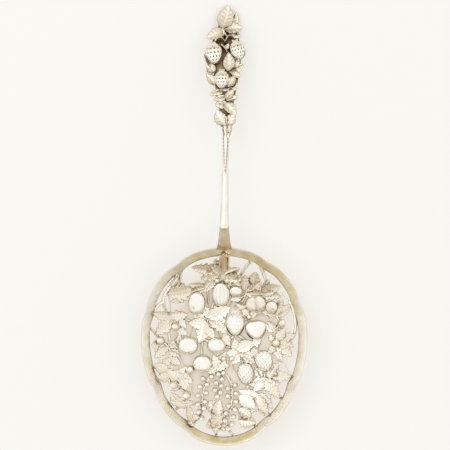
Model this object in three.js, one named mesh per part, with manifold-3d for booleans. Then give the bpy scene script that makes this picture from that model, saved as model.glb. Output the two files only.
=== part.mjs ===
// A berry spoon of silver: a scalloped egg-shaped rim that holds an openwork bowl of
// soldered vines, leaves and fruit, on an arched stem with a finial of strawberries.
import * as THREE from "three";
import { mergeVertices } from "three/addons/utils/BufferGeometryUtils.js";
import Module from "manifold-3d";

// Driving dimensions, in millimetres. The bowl is an egg, widest on the handle's side.
const BOWL_LENGTH = 98.8;
const BOWL_WIDTH = 82.6;
const EGG_TAPER = 0.085;
const BOWL_DEPTH = 14;
const FLOOR_LENGTH = 40;
const WALL_CURVE = 1.8;
const RIM_WIDTH = 4.3;
const RIM_THICKNESS = 1.4;
const LIP_WIDTH = 0.9;
const LIP_HEIGHT = 0.35;

// Shallow notches divide the rim into lobes; their headings are in degrees from +X.
const NOTCH_DEPTH = 0.45;
const NOTCH_SPREAD = 4.5;
const NOTCH_HEADINGS = [30, 63, 120, 156, 211, 244, 297, 330];

// The vines are half-round wire, flat on the back, and everything else sits on them.
const VINE_WIDTH = 1.9;
const VINE_HEIGHT = 1.5;
const STALK_WIDTH = 1.3;
const STALK_HEIGHT = 1.0;
const WIRE_SHOULDER = { side: 0.85, height: 0.55 };
const SOLDER_GAP = 0.25;

// Cast leaves: thickness at the edge, rise of the midrib, the ends' widths, how the
// outline swells, and the share of the width that the teeth take.
const LEAF_THICKNESS = 0.9;
const LEAF_RISE = 0.7;
const LEAF_FOOT = 1.3;
const LEAF_POINT = 0.35;
const LEAF_SWELL = 0.8;
const TOOTH_SHARE = 0.14;

// Round berries and buds on the sprays, and the currants on their trusses. A fruit's
// seat cuts it off at a share of its height, and a berry is a little flattened.
const BERRY_SIZE = 4.3;
const BUD_SIZE = 3;
const CURRANT_SIZE = 2.8;
const BERRY_FLATNESS = 0.88;
const FRUIT_SEAT = 0.38;
const CLEFT_SPREAD = 0.28;

// A calyx, in shares of its fruit's length and height, with the inner reach of its star.
const CALYX_PLACE = 0.37;
const CALYX_LOW = 0.3;
const CALYX_TOP = 0.85;
const CALYX_WAIST = 0.45;
const CALYX_POINTS = 5;

// The handle: a neck that climbs from the rim, an arched stem that leans a little to
// one side on its way up, and the finial.
const NECK_LENGTH = 9.6;
const NECK_LAP = 2.4;
const NECK_WIDTH = 7.8;
const NECK_THICKNESS = 1.8;
const HANDLE_RISE = 21.5;
const STEM_LENGTH = 50.5;
const HANDLE_LEAN = 0.9;
const STEM_WIDTH = 3.4;
const STEM_FOOT_WIDTH = 4.6;
const STEM_THICKNESS = 2.2;
const BAR_CROWN = { side: 0.72, height: 0.93 };
const BAR_BACK_SHARE = 0.9;
const REED_LENGTH = 21;
const REED_WIDTH = 2.2;
const FINIAL_WIDTH = 21;
const PLATE_LENGTH = 57.5;
const TIP_REACH = 3.8;
const PLATE_THICKNESS = 1.3;
const PLATE_WIDTH = 15.4;
const PLATE_FOOT_WIDTH = 5.4;
const PLATE_TIP_WIDTH = 5;
const PLATE_BELLY_PLACE = 38;

// How finely curves are cut into flat faces, with a fruit's sides and rings.
const RIM_STEPS = 72;
const WIRE_STEP = 5;
const LEAF_STEPS = 6;
const NECK_STEPS = 9;
const STEM_STEPS = 12;
const REED_STEPS = 8;
const PLATE_STEPS = 14;
const TRUSS_STARTS = 16;
const FRUIT_FACES = { sides: 12, rings: 8 };
const BERRY_FACES = { sides: 8, rings: 5 };
const CURRANT_FACES = { sides: 6, rings: 4 };
const MERGE_DISTANCE = 1e-4;
const JOIN_TOLERANCE = 0.03;

// Finishes: satin wire and rim, polished fruit, and leaves darkened in their hollows.
const FINISHES = {
  satin: { color: 0xcfc6b0, roughness: 0.42, metalness: 1 },
  polished: { color: 0xf0ebdf, roughness: 0.2, metalness: 1 },
  darkened: { color: 0xb3a27c, roughness: 0.48, metalness: 1 },
};

const FIELD_X = BOWL_WIDTH / 2 - RIM_WIDTH;
const FIELD_Y = BOWL_LENGTH / 2 - RIM_WIDTH;
const RIM_TOP = RIM_THICKNESS + LIP_HEIGHT;
const BOWL_SEAT = VINE_HEIGHT + SOLDER_GAP;
const PLATE_SEAT = PLATE_THICKNESS + SOLDER_GAP;
const NECK_JOINT_Y = BOWL_LENGTH / 2 + NECK_LENGTH;
const FINIAL_FOOT_Y = NECK_JOINT_Y + STEM_LENGTH;
const FINIAL_LENGTH = PLATE_LENGTH + TIP_REACH;
const ARCH_REACH = STEM_LENGTH + PLATE_LENGTH;
const ARCH_RADIUS = (ARCH_REACH ** 2 + HANDLE_RISE ** 2) / (2 * HANDLE_RISE);

// Solids: closed meshes go to the boolean library and come back as geometry.
const wasm = await Module();
wasm.setup();

function solidOf(geometry) {
  const bare = geometry.clone();
  bare.deleteAttribute("normal");
  bare.deleteAttribute("uv");
  const merged = mergeVertices(bare, MERGE_DISTANCE);
  return new wasm.Manifold(new wasm.Mesh({
    numProp: 3,
    vertProperties: new Float32Array(merged.attributes.position.array),
    triVerts: new Uint32Array(merged.index.array),
  }));
}

// Joins and cuts leave slivers, which the tolerance lets go.
function geometryOf(solid) {
  const mesh = solid.asOriginal().setTolerance(JOIN_TOLERANCE).getMesh();
  const geometry = new THREE.BufferGeometry();
  geometry.setAttribute("position", new THREE.BufferAttribute(new Float32Array(mesh.vertProperties), 3));
  geometry.setIndex(new THREE.BufferAttribute(new Uint32Array(mesh.triVerts), 1));
  geometry.computeVertexNormals();
  return geometry;
}

function joined(solids) {
  return solids.reduce((whole, next) => whole.add(next));
}

function boxesMeet(one, other) {
  const a = one.boundingBox();
  const b = other.boundingBox();
  return [0, 1, 2].every((axis) => a.min[axis] < b.max[axis] && b.min[axis] < a.max[axis]);
}

// What a neighbour cuts away may leave a crumb, and only the main body is kept.
function mainBody(solid) {
  const bodies = solid.decompose();
  return bodies.reduce((best, next) => (next.volume() > best.volume() ? next : best));
}

// Where things lie: the bowl's back surface, and the arch of the handle's back.
function bowlHeight(x, y) {
  const along = y / (BOWL_LENGTH / 2);
  const across = x / ((BOWL_WIDTH / 2) * (1 + EGG_TAPER * along));
  const floor = FLOOR_LENGTH / BOWL_LENGTH;
  const climb = (Math.hypot(across, along) - floor) / (1 - floor);
  return climb > 0 ? BOWL_DEPTH * climb ** WALL_CURVE : 0;
}

function onBowl(x, y, height) {
  return new THREE.Vector3(x, y, bowlHeight(x, y) + height);
}

function onHandle(x, y, height) {
  const lean = Math.asin((y - NECK_JOINT_Y) / ARCH_RADIUS);
  const drop = ARCH_RADIUS * (1 - Math.cos(lean));
  return new THREE.Vector3(x, y, HANDLE_RISE - drop + height);
}

// Places are shares: of the openwork's half width and half length in the bowl, and
// of the half width and the length, from its foot, in the finial.
function inBowl([u, v]) {
  return new THREE.Vector2(u * FIELD_X, v * FIELD_Y);
}

function inFinial([u, v]) {
  return new THREE.Vector2(u * (FINIAL_WIDTH / 2), FINIAL_FOOT_Y + v * FINIAL_LENGTH);
}

const BOWL = { plan: inBowl, lay: onBowl, seat: BOWL_SEAT };
const FINIAL = { plan: inFinial, lay: onHandle, seat: PLATE_SEAT };

// A closed bar: a cylinder whose rings are moved to where pointAt puts each corner.
function bar(corners, steps, pointAt) {
  const geometry = new THREE.CylinderGeometry(1, 1, 1, corners, steps);
  const position = geometry.attributes.position;
  const from = new THREE.Vector3();
  for (let i = 0; i < position.count; i += 1) {
    from.fromBufferAttribute(position, i);
    const radius = Math.hypot(from.x, from.z);
    const corner = Math.round((Math.atan2(from.x, from.z) / (2 * Math.PI)) * corners);
    const ring = radius > 0.5 ? (corner + corners) % corners : null;
    const point = pointAt(from.y + 0.5, ring);
    position.setXYZ(i, point.x, point.y, point.z);
  }
  return geometry;
}

// A bar laid on a surface along a plan curve; its section is a list of corners, each
// with a side from -1 to 1 and a height, listed from the top round by the right.
function barOn(lay, curve, steps, sectionAt) {
  const corners = sectionAt(0).length;
  return bar(corners, steps, (along, ring) => {
    const point = curve.getPoint(along);
    const heading = curve.getTangent(along);
    const section = sectionAt(along);
    const middle = { side: 0, height: (section[0].height + section[corners / 2].height) / 2 };
    const { side, height } = ring === null ? middle : section[ring];
    return lay(point.x + heading.y * side, point.y - heading.x * side, height);
  });
}

// Half-round wire through plan points, flat on its back.
function wire(points, width, height, base, lay, grow) {
  const curve = points.length > 2 ? new THREE.SplineCurve(points) : new THREE.LineCurve(points[0], points[1]);
  const steps = Math.max(Math.ceil(curve.getLength() / WIRE_STEP), points.length - 1);
  const half = width / 2 + grow;
  const low = base - grow;
  const high = base + height + grow;
  const shoulder = base + height * WIRE_SHOULDER.height + grow;
  const section = [
    { side: 0, height: high },
    { side: half * WIRE_SHOULDER.side, height: shoulder },
    { side: half, height: low },
    { side: 0, height: low },
    { side: -half, height: low },
    { side: -half * WIRE_SHOULDER.side, height: shoulder },
  ];
  return solidOf(barOn(lay, curve, steps, () => section));
}

// A cast leaf from its foot to its point: flat on the back, ridged along the midrib.
function leaf({ from, to, width, lift = 0 }, place, grow) {
  const foot = place.plan(from);
  const point = place.plan(to);
  const reach = point.clone().sub(foot).setLength(grow);
  const curve = new THREE.LineCurve(foot.clone().sub(reach), point.clone().add(reach));
  const sectionAt = (along) => {
    const swell = Math.sin(Math.PI * along ** LEAF_SWELL) ** LEAF_SWELL;
    const toothed = Math.round(along * LEAF_STEPS) % 2 ? 1 : 1 - TOOTH_SHARE;
    const ends = THREE.MathUtils.lerp(LEAF_FOOT, LEAF_POINT, along);
    const half = Math.max(ends, width * swell * toothed) / 2 + grow;
    const low = place.seat + lift * along ** 2 - grow;
    const edge = low + LEAF_THICKNESS + 2 * grow;
    return [
      { side: 0, height: edge + LEAF_RISE * swell },
      { side: half, height: edge },
      { side: half, height: low },
      { side: 0, height: low },
      { side: -half, height: low },
      { side: -half, height: edge },
    ];
  };
  return solidOf(barOn(place.lay, curve, LEAF_STEPS, sectionAt));
}

// A fruit: a sphere drawn out along its stalk's line, narrowed away from the stalk,
// and flattened where it is seated. Bumps make every other corner stand proud, and a
// cleft draws it in round its middle.
function fruit(form, place, grow, { sides, rings } = FRUIT_FACES) {
  const { at, wide, long, high, turn = 0, taper = 0, bumps = 0, cleft = 0 } = form;
  const geometry = new THREE.SphereGeometry(1, sides, rings);
  const position = geometry.attributes.position;
  const centre = place.plan(at);
  const spin = THREE.MathUtils.degToRad(turn);
  const from = new THREE.Vector3();
  const plan = new THREE.Vector2();
  for (let i = 0; i < position.count; i += 1) {
    from.fromBufferAttribute(position, i);
    const around = Math.round((Math.atan2(from.z, from.x) / (2 * Math.PI)) * sides);
    const level = Math.round((Math.acos(from.y) / Math.PI) * rings);
    const onPole = level === 0 || level === rings;
    const proud = !onPole && (around + level) % 2 ? 1 + bumps : 1;
    const drawnIn = 1 - cleft * Math.exp(-((from.y / CLEFT_SPREAD) ** 2));
    const girth = (1 + taper * from.y) * proud * drawnIn;
    plan.set(from.x * (wide / 2 + grow) * girth, from.y * (long / 2 + grow));
    plan.rotateAround(new THREE.Vector2(), spin);
    const height = high * FRUIT_SEAT + from.z * (high * (1 - FRUIT_SEAT) + grow) * proud * drawnIn;
    const point = place.lay(centre.x + plan.x, centre.y + plan.y, place.seat + Math.max(height, -grow));
    position.setXYZ(i, point.x, point.y, point.z);
  }
  return solidOf(geometry);
}

function berry(at, size, place, grow, faces = BERRY_FACES) {
  return fruit({ at, wide: size, long: size, high: size * BERRY_FLATNESS }, place, grow, faces);
}

// The star of small leaves on a strawberry's shoulder.
function calyx({ at, long, high, turn = 0, star }, place, grow) {
  const spin = THREE.MathUtils.degToRad(turn);
  const middle = new THREE.Vector2(0, long * CALYX_PLACE);
  middle.rotateAround(new THREE.Vector2(), spin).add(place.plan(at));
  const low = place.seat + high * CALYX_LOW - grow;
  const top = place.seat + high * CALYX_TOP + grow;
  return solidOf(bar(2 * CALYX_POINTS, 1, (along, corner) => {
    const height = THREE.MathUtils.lerp(low, top, along);
    if (corner === null) return place.lay(middle.x, middle.y, height);
    const reach = (corner % 2 ? star * CALYX_WAIST : star) / 2 + grow;
    const angle = (corner / CALYX_POINTS) * Math.PI + spin;
    return place.lay(middle.x - Math.sin(angle) * reach, middle.y + Math.cos(angle) * reach, height);
  }));
}

// Builders that take a clearance, so that a neighbour can be cut back by the same shape.
function fruitSolid(form, place, grow) {
  const body = fruit(form, place, grow);
  return form.star ? body.add(calyx(form, place, grow)) : body;
}

function spraySolid({ leaves = [], berries = [], buds = [], stalks = [] }, place, grow) {
  return joined([
    ...leaves.map((form) => leaf(form, place, grow)),
    ...berries.map((at) => berry(at, BERRY_SIZE, place, grow)),
    ...buds.map((at) => berry(at, BUD_SIZE, place, grow)),
    ...stalks.map((run) => wire(run.map(place.plan), STALK_WIDTH, STALK_HEIGHT, place.seat, place.lay, grow)),
  ]);
}

// A truss: a stem with currants, each on a short stalk from the nearest place on the stem.
function trussSolid({ stem, currants }, place, grow) {
  const stemPoints = stem.map(place.plan);
  const starts = new THREE.SplineCurve(stemPoints).getPoints(TRUSS_STARTS);
  const stalkOf = (at) => {
    const end = place.plan(at);
    const near = starts.reduce((best, next) => (next.distanceTo(end) < best.distanceTo(end) ? next : best));
    return near.distanceTo(end) < CURRANT_SIZE / 2 ? [] : [[near, end]];
  };
  const runs = [stemPoints, ...currants.flatMap(stalkOf)];
  return joined([
    ...runs.map((run) => wire(run, STALK_WIDTH, STALK_HEIGHT, place.seat, place.lay, grow)),
    ...currants.map((at) => berry(at, CURRANT_SIZE, place, grow, CURRANT_FACES)),
  ]);
}

function vineSolid(runs, place, grow) {
  return joined(runs.map((run) => wire(run.map(place.plan), VINE_WIDTH, VINE_HEIGHT, 0, place.lay, grow)));
}

// The rim: a torus whose section is carried round the egg, inward and up from its edge.
function outlinePoint(turn, inset) {
  const x = (BOWL_WIDTH / 2) * Math.cos(turn) * (1 + EGG_TAPER * Math.sin(turn));
  const y = (BOWL_LENGTH / 2) * Math.sin(turn);
  const reach = Math.hypot(x, y);
  const heading = THREE.MathUtils.radToDeg(Math.atan2(y, x));
  const notches = NOTCH_HEADINGS.map((notch) => {
    const off = THREE.MathUtils.euclideanModulo(heading - notch + 180, 360) - 180;
    return NOTCH_DEPTH * Math.exp(-((off / NOTCH_SPREAD) ** 2));
  });
  const cut = notches.reduce((sum, notch) => sum + notch, 0);
  const keep = (reach - cut - inset) / reach;
  return new THREE.Vector2(x * keep, y * keep);
}

function ring(section) {
  const geometry = new THREE.TorusGeometry(2, 1, section.length, RIM_STEPS);
  const position = geometry.attributes.position;
  const from = new THREE.Vector3();
  for (let i = 0; i < position.count; i += 1) {
    from.fromBufferAttribute(position, i);
    const turn = Math.atan2(from.y, from.x);
    const roll = Math.atan2(from.z, Math.hypot(from.x, from.y) - 2);
    const corner = Math.round((roll / (2 * Math.PI)) * section.length + section.length) % section.length;
    const [inset, height] = section[corner];
    const plan = outlinePoint(turn, inset);
    const point = onBowl(plan.x, plan.y, height);
    position.setXYZ(i, point.x, point.y, point.z);
  }
  return solidOf(geometry);
}

function rimSolid() {
  return ring([
    [0, RIM_THICKNESS / 2],
    [LIP_HEIGHT / 2, RIM_TOP],
    [LIP_WIDTH, RIM_TOP],
    [LIP_WIDTH + LIP_HEIGHT, RIM_THICKNESS],
    [RIM_WIDTH, RIM_THICKNESS],
    [RIM_WIDTH, 0],
    [RIM_WIDTH / 2, 0],
    [LIP_HEIGHT, 0],
  ]);
}

// Everything past the rim's inner face, which the vines' ends are trimmed to.
function pastRim() {
  const inner = RIM_WIDTH + SOLDER_GAP;
  const outer = -RIM_WIDTH * 3;
  return ring([[outer, -BOWL_DEPTH], [outer, BOWL_DEPTH], [inner, BOWL_DEPTH], [inner, -BOWL_DEPTH]]);
}

// Rounded bar section with a flat back, for the stem and the neck.
function barSection(half, low, thickness) {
  return [
    { side: 0, height: low + thickness },
    { side: half * BAR_CROWN.side, height: low + thickness * BAR_CROWN.height },
    { side: half, height: low + thickness / 2 },
    { side: half * BAR_BACK_SHARE, height: low },
    { side: 0, height: low },
    { side: -half * BAR_BACK_SHARE, height: low },
    { side: -half, height: low + thickness / 2 },
    { side: -half * BAR_CROWN.side, height: low + thickness * BAR_CROWN.height },
  ];
}

// The neck lies on the rim up to its edge, then climbs and levels out at the stem.
function neckBack(x, y) {
  const rest = RIM_TOP + SOLDER_GAP;
  const edge = BOWL_LENGTH / 2 + LIP_WIDTH;
  if (y <= edge) return bowlHeight(x, y) + rest;
  const span = NECK_JOINT_Y - edge;
  const start = bowlHeight(x, edge) + rest;
  const slope = bowlHeight(x, edge + 1) - bowlHeight(x, edge);
  const t = (y - edge) / span;
  const leave = (2 * t ** 3 - 3 * t ** 2 + 1) * start + (t ** 3 - 2 * t ** 2 + t) * slope * span;
  return leave + (3 * t ** 2 - 2 * t ** 3) * HANDLE_RISE;
}

function neckSolid(grow) {
  const inner = BOWL_LENGTH / 2 - NECK_LAP;
  const curve = new THREE.LineCurve(
    new THREE.Vector2(0, inner - grow),
    new THREE.Vector2(0, NECK_JOINT_Y - SOLDER_GAP / 2 + grow),
  );
  const layOnRim = (x, y, height) => new THREE.Vector3(x, y, neckBack(x, y) + height);
  return solidOf(barOn(layOnRim, curve, NECK_STEPS, (along) => {
    const half = THREE.MathUtils.lerp(NECK_WIDTH, STEM_FOOT_WIDTH, along) / 2 + grow;
    return barSection(half, -grow, NECK_THICKNESS + (STEM_THICKNESS - NECK_THICKNESS) * along + 2 * grow);
  }));
}

function stemSolid() {
  const curve = new THREE.LineCurve(
    new THREE.Vector2(0, NECK_JOINT_Y + SOLDER_GAP / 2),
    new THREE.Vector2(HANDLE_LEAN, FINIAL_FOOT_Y - SOLDER_GAP / 2),
  );
  return solidOf(barOn(onHandle, curve, STEM_STEPS, (along) => {
    const flare = (STEM_FOOT_WIDTH - STEM_WIDTH) * (1 - along) ** 4;
    return barSection((STEM_WIDTH + flare) / 2, 0, STEM_THICKNESS);
  }));
}

// The reed: a long tongue in relief on the upper stem, pointed toward the bowl.
function reedSolid() {
  const top = FINIAL_FOOT_Y - SOLDER_GAP;
  const foot = HANDLE_LEAN * (1 - REED_LENGTH / STEM_LENGTH);
  const curve = new THREE.LineCurve(
    new THREE.Vector2(HANDLE_LEAN, top),
    new THREE.Vector2(foot, top - REED_LENGTH),
  );
  const low = STEM_THICKNESS + SOLDER_GAP;
  return solidOf(barOn(onHandle, curve, REED_STEPS, (along) => {
    const half = THREE.MathUtils.lerp(REED_WIDTH, LEAF_POINT, along) / 2;
    return barSection(half, low, THREE.MathUtils.lerp(LEAF_THICKNESS, LEAF_POINT, along));
  }));
}

// The finial's back plate, a long drop shape that touches the table at its far end.
function plateSolid() {
  const start = FINIAL_FOOT_Y + SOLDER_GAP / 2;
  const end = FINIAL_FOOT_Y + PLATE_LENGTH;
  const curve = new THREE.LineCurve(
    new THREE.Vector2(HANDLE_LEAN, start),
    new THREE.Vector2(HANDLE_LEAN, end),
  );
  return solidOf(barOn(onHandle, curve, PLATE_STEPS, (along) => {
    const place = along * PLATE_LENGTH;
    const rising = THREE.MathUtils.smoothstep(place, 0, PLATE_BELLY_PLACE);
    const falling = THREE.MathUtils.smoothstep(place, PLATE_BELLY_PLACE, PLATE_LENGTH);
    const swollen = THREE.MathUtils.lerp(PLATE_FOOT_WIDTH, PLATE_WIDTH, rising);
    const width = THREE.MathUtils.lerp(swollen, PLATE_TIP_WIDTH, falling);
    return barSection(width / 2, 0, PLATE_THICKNESS);
  }));
}

// The vines, each a set of runs that start on one another or end at the rim.
const VINES = {
  root_vine: [
    [[0, 1.05], [-0.02, 0.89], [-0.07, 0.755], [-0.11, 0.59], [-0.175, 0.395], [-0.235, 0.245],
      [-0.285, 0.09], [-0.305, -0.045], [-0.295, -0.2]],
  ],
  right_vine: [
    [[-0.07, 0.755], [0.06, 0.7], [0.16, 0.605], [0.315, 0.6], [0.43, 0.48], [0.54, 0.505], [0.635, 0.445],
      [0.735, 0.355], [0.775, 0.24], [0.735, 0.12], [0.71, 0.02]],
    [[0.385, 0.98], [0.23, 0.8], [0.16, 0.605]],
    [[0.48, 0.93], [0.56, 0.755], [0.6, 0.645], [0.54, 0.505]],
    [[0.93, 0.54], [0.94, 0.41], [0.975, 0.25], [0.955, 0.13], [0.87, 0.05], [0.71, 0.02]],
  ],
  cross_vine: [
    [[-0.2, 0.32], [-0.025, 0.35], [0.15, 0.285], [0.3, 0.3], [0.415, 0.2], [0.585, 0.19], [0.775, 0.24]],
    [[0.15, 0.285], [0.15, 0.14], [0.05, 0.05], [-0.03, 0]],
    [[0.15, 0.14], [0.3, 0.05], [0.36, -0.02]],
  ],
  left_vine: [
    [[-0.64, 0.92], [-0.68, 0.73], [-0.83, 0.535], [-0.785, 0.37], [-0.75, 0.305], [-0.76, 0.145],
      [-0.73, -0.02], [-0.71, -0.13], [-0.715, -0.27], [-0.665, -0.365]],
    [[-0.73, -0.02], [-0.485, 0.005], [-0.295, 0.05]],
    [[-0.73, -0.02], [-0.855, 0.06], [-1.06, 0.25]],
    [[-0.715, -0.27], [-0.85, -0.26], [-1.04, -0.21]],
    [[-0.815, 0.5], [-0.9, 0.47], [-1.02, 0.39]],
    [[-0.65, 0.7], [-0.6, 0.74], [-0.575, 0.95]],
  ],
  left_cross_vine: [
    [[-0.085, 0.715], [-0.26, 0.68], [-0.46, 0.645], [-0.6, 0.59], [-0.79, 0.59]],
    [[-0.33, 0.665], [-0.365, 0.475], [-0.33, 0.315], [-0.235, 0.245]],
    [[-0.75, 0.305], [-0.58, 0.315], [-0.43, 0.26], [-0.24, 0.23]],
  ],
  lower_right_vine: [
    [[-0.28, 0.075], [-0.1, 0.005], [0.08, -0.02], [0.195, -0.06], [0.35, -0.02], [0.53, -0.12],
      [0.71, 0.02]],
    [[0.53, -0.12], [0.545, -0.24], [0.55, -0.365], [0.415, -0.395], [0.35, -0.405], [0.29, -0.31],
      [0.245, -0.185], [0.195, -0.06]],
    [[0.55, -0.365], [0.72, -0.35], [0.96, -0.325]],
    [[0.55, -0.365], [0.635, -0.465], [0.82, -0.62]],
    [[0.35, -0.405], [0.3, -0.545], [0.415, -0.6], [0.52, -0.67], [0.66, -0.82]],
    [[0.3, -0.545], [0.245, -0.67], [0.22, -0.795], [0.35, -0.85], [0.48, -0.93]],
  ],
  bottom_vine: [
    [[-0.295, -0.2], [-0.125, -0.27], [0.06, -0.365], [0.105, -0.6], [0.045, -0.78], [-0.09, -0.88],
      [-0.11, -1.05]],
    [[-0.125, -0.27], [-0.25, -0.41], [-0.3, -0.575], [-0.31, -0.74], [-0.35, -0.8], [-0.43, -0.86],
      [-0.475, -0.98]],
    [[-0.665, -0.365], [-0.6, -0.47], [-0.505, -0.545], [-0.53, -0.645], [-0.3, -0.645]],
    [[-0.53, -0.645], [-0.68, -0.7], [-0.84, -0.77]],
    [[-0.04, -0.86], [0.05, -0.93], [0.15, -1.04]],
  ],
};

// The fruit of the bowl. Where turn is given, it is in degrees from pointing at the handle.
const FRUIT = {
  gooseberry_middle: { at: [-0.045, 0.56], wide: 8, long: 11, high: 5.5 },
  gooseberry_left: { at: [-0.365, 0.475], wide: 7.3, long: 9.8, high: 5.5, turn: -8 },
  plum: { at: [0.16, 0.6], wide: 4.3, long: 6.4, high: 3.6, turn: 88 },
  apricot: { at: [0.425, 0.475], wide: 7.4, long: 9.8, high: 5, turn: -84, cleft: 0.24 },
  sloe: { at: [0.645, 0.44], wide: 5, long: 5.2, high: 4 },
  strawberry: { at: [0.15, 0.24], wide: 8.7, long: 10.4, high: 5.6, taper: 0.3, star: 8.4 },
  fig: { at: [0.42, 0.18], wide: 9.2, long: 8.8, high: 5, turn: 8, taper: 0.42 },
  cherry_left: { at: [-0.485, 0.005], wide: 8.3, long: 8.2, high: 6.2 },
  cherry_right: { at: [-0.1, 0.005], wide: 8.2, long: 6.7, high: 5.8 },
  cherry_lower: { at: [-0.295, -0.2], wide: 8.2, long: 7.8, high: 6.2 },
  raspberry_right: { at: [0.535, -0.17], wide: 8, long: 9.8, high: 5.4, turn: 8, taper: 0.15, bumps: 0.07 },
  raspberry_left: { at: [0.29, -0.31], wide: 7.4, long: 10, high: 5.2, turn: 6, taper: 0.15, bumps: 0.07 },
};

const TRUSSES = {
  currants_left: {
    stem: [[-0.15, -0.33], [-0.24, -0.41], [-0.29, -0.53], [-0.3, -0.66], [-0.31, -0.8]],
    currants: [[-0.175, -0.345], [-0.29, -0.365], [-0.235, -0.43], [-0.33, -0.455], [-0.245, -0.525],
      [-0.355, -0.55], [-0.26, -0.62], [-0.355, -0.645], [-0.27, -0.69], [-0.345, -0.73], [-0.3, -0.8]],
  },
  currants_middle: {
    stem: [[0.05, -0.15], [0.035, -0.225], [0, -0.32], [-0.055, -0.43], [-0.09, -0.56]],
    currants: [[-0.01, -0.145], [0.1, -0.145], [0.035, -0.225], [-0.01, -0.305], [-0.08, -0.32],
      [-0.11, -0.415], [-0.03, -0.375], [-0.04, -0.45], [-0.125, -0.495], [-0.05, -0.52], [-0.095, -0.565]],
  },
  currants_right: {
    stem: [[0.09, -0.39], [0.11, -0.52], [0.1, -0.65], [0.07, -0.78], [0.05, -0.88]],
    currants: [[0.15, -0.44], [0.05, -0.475], [0.16, -0.53], [0.05, -0.56], [0.16, -0.62], [0.055, -0.665],
      [0.145, -0.705], [0.02, -0.745], [0.125, -0.785], [0.01, -0.825], [0.105, -0.86], [0.045, -0.91]],
  },
};

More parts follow.
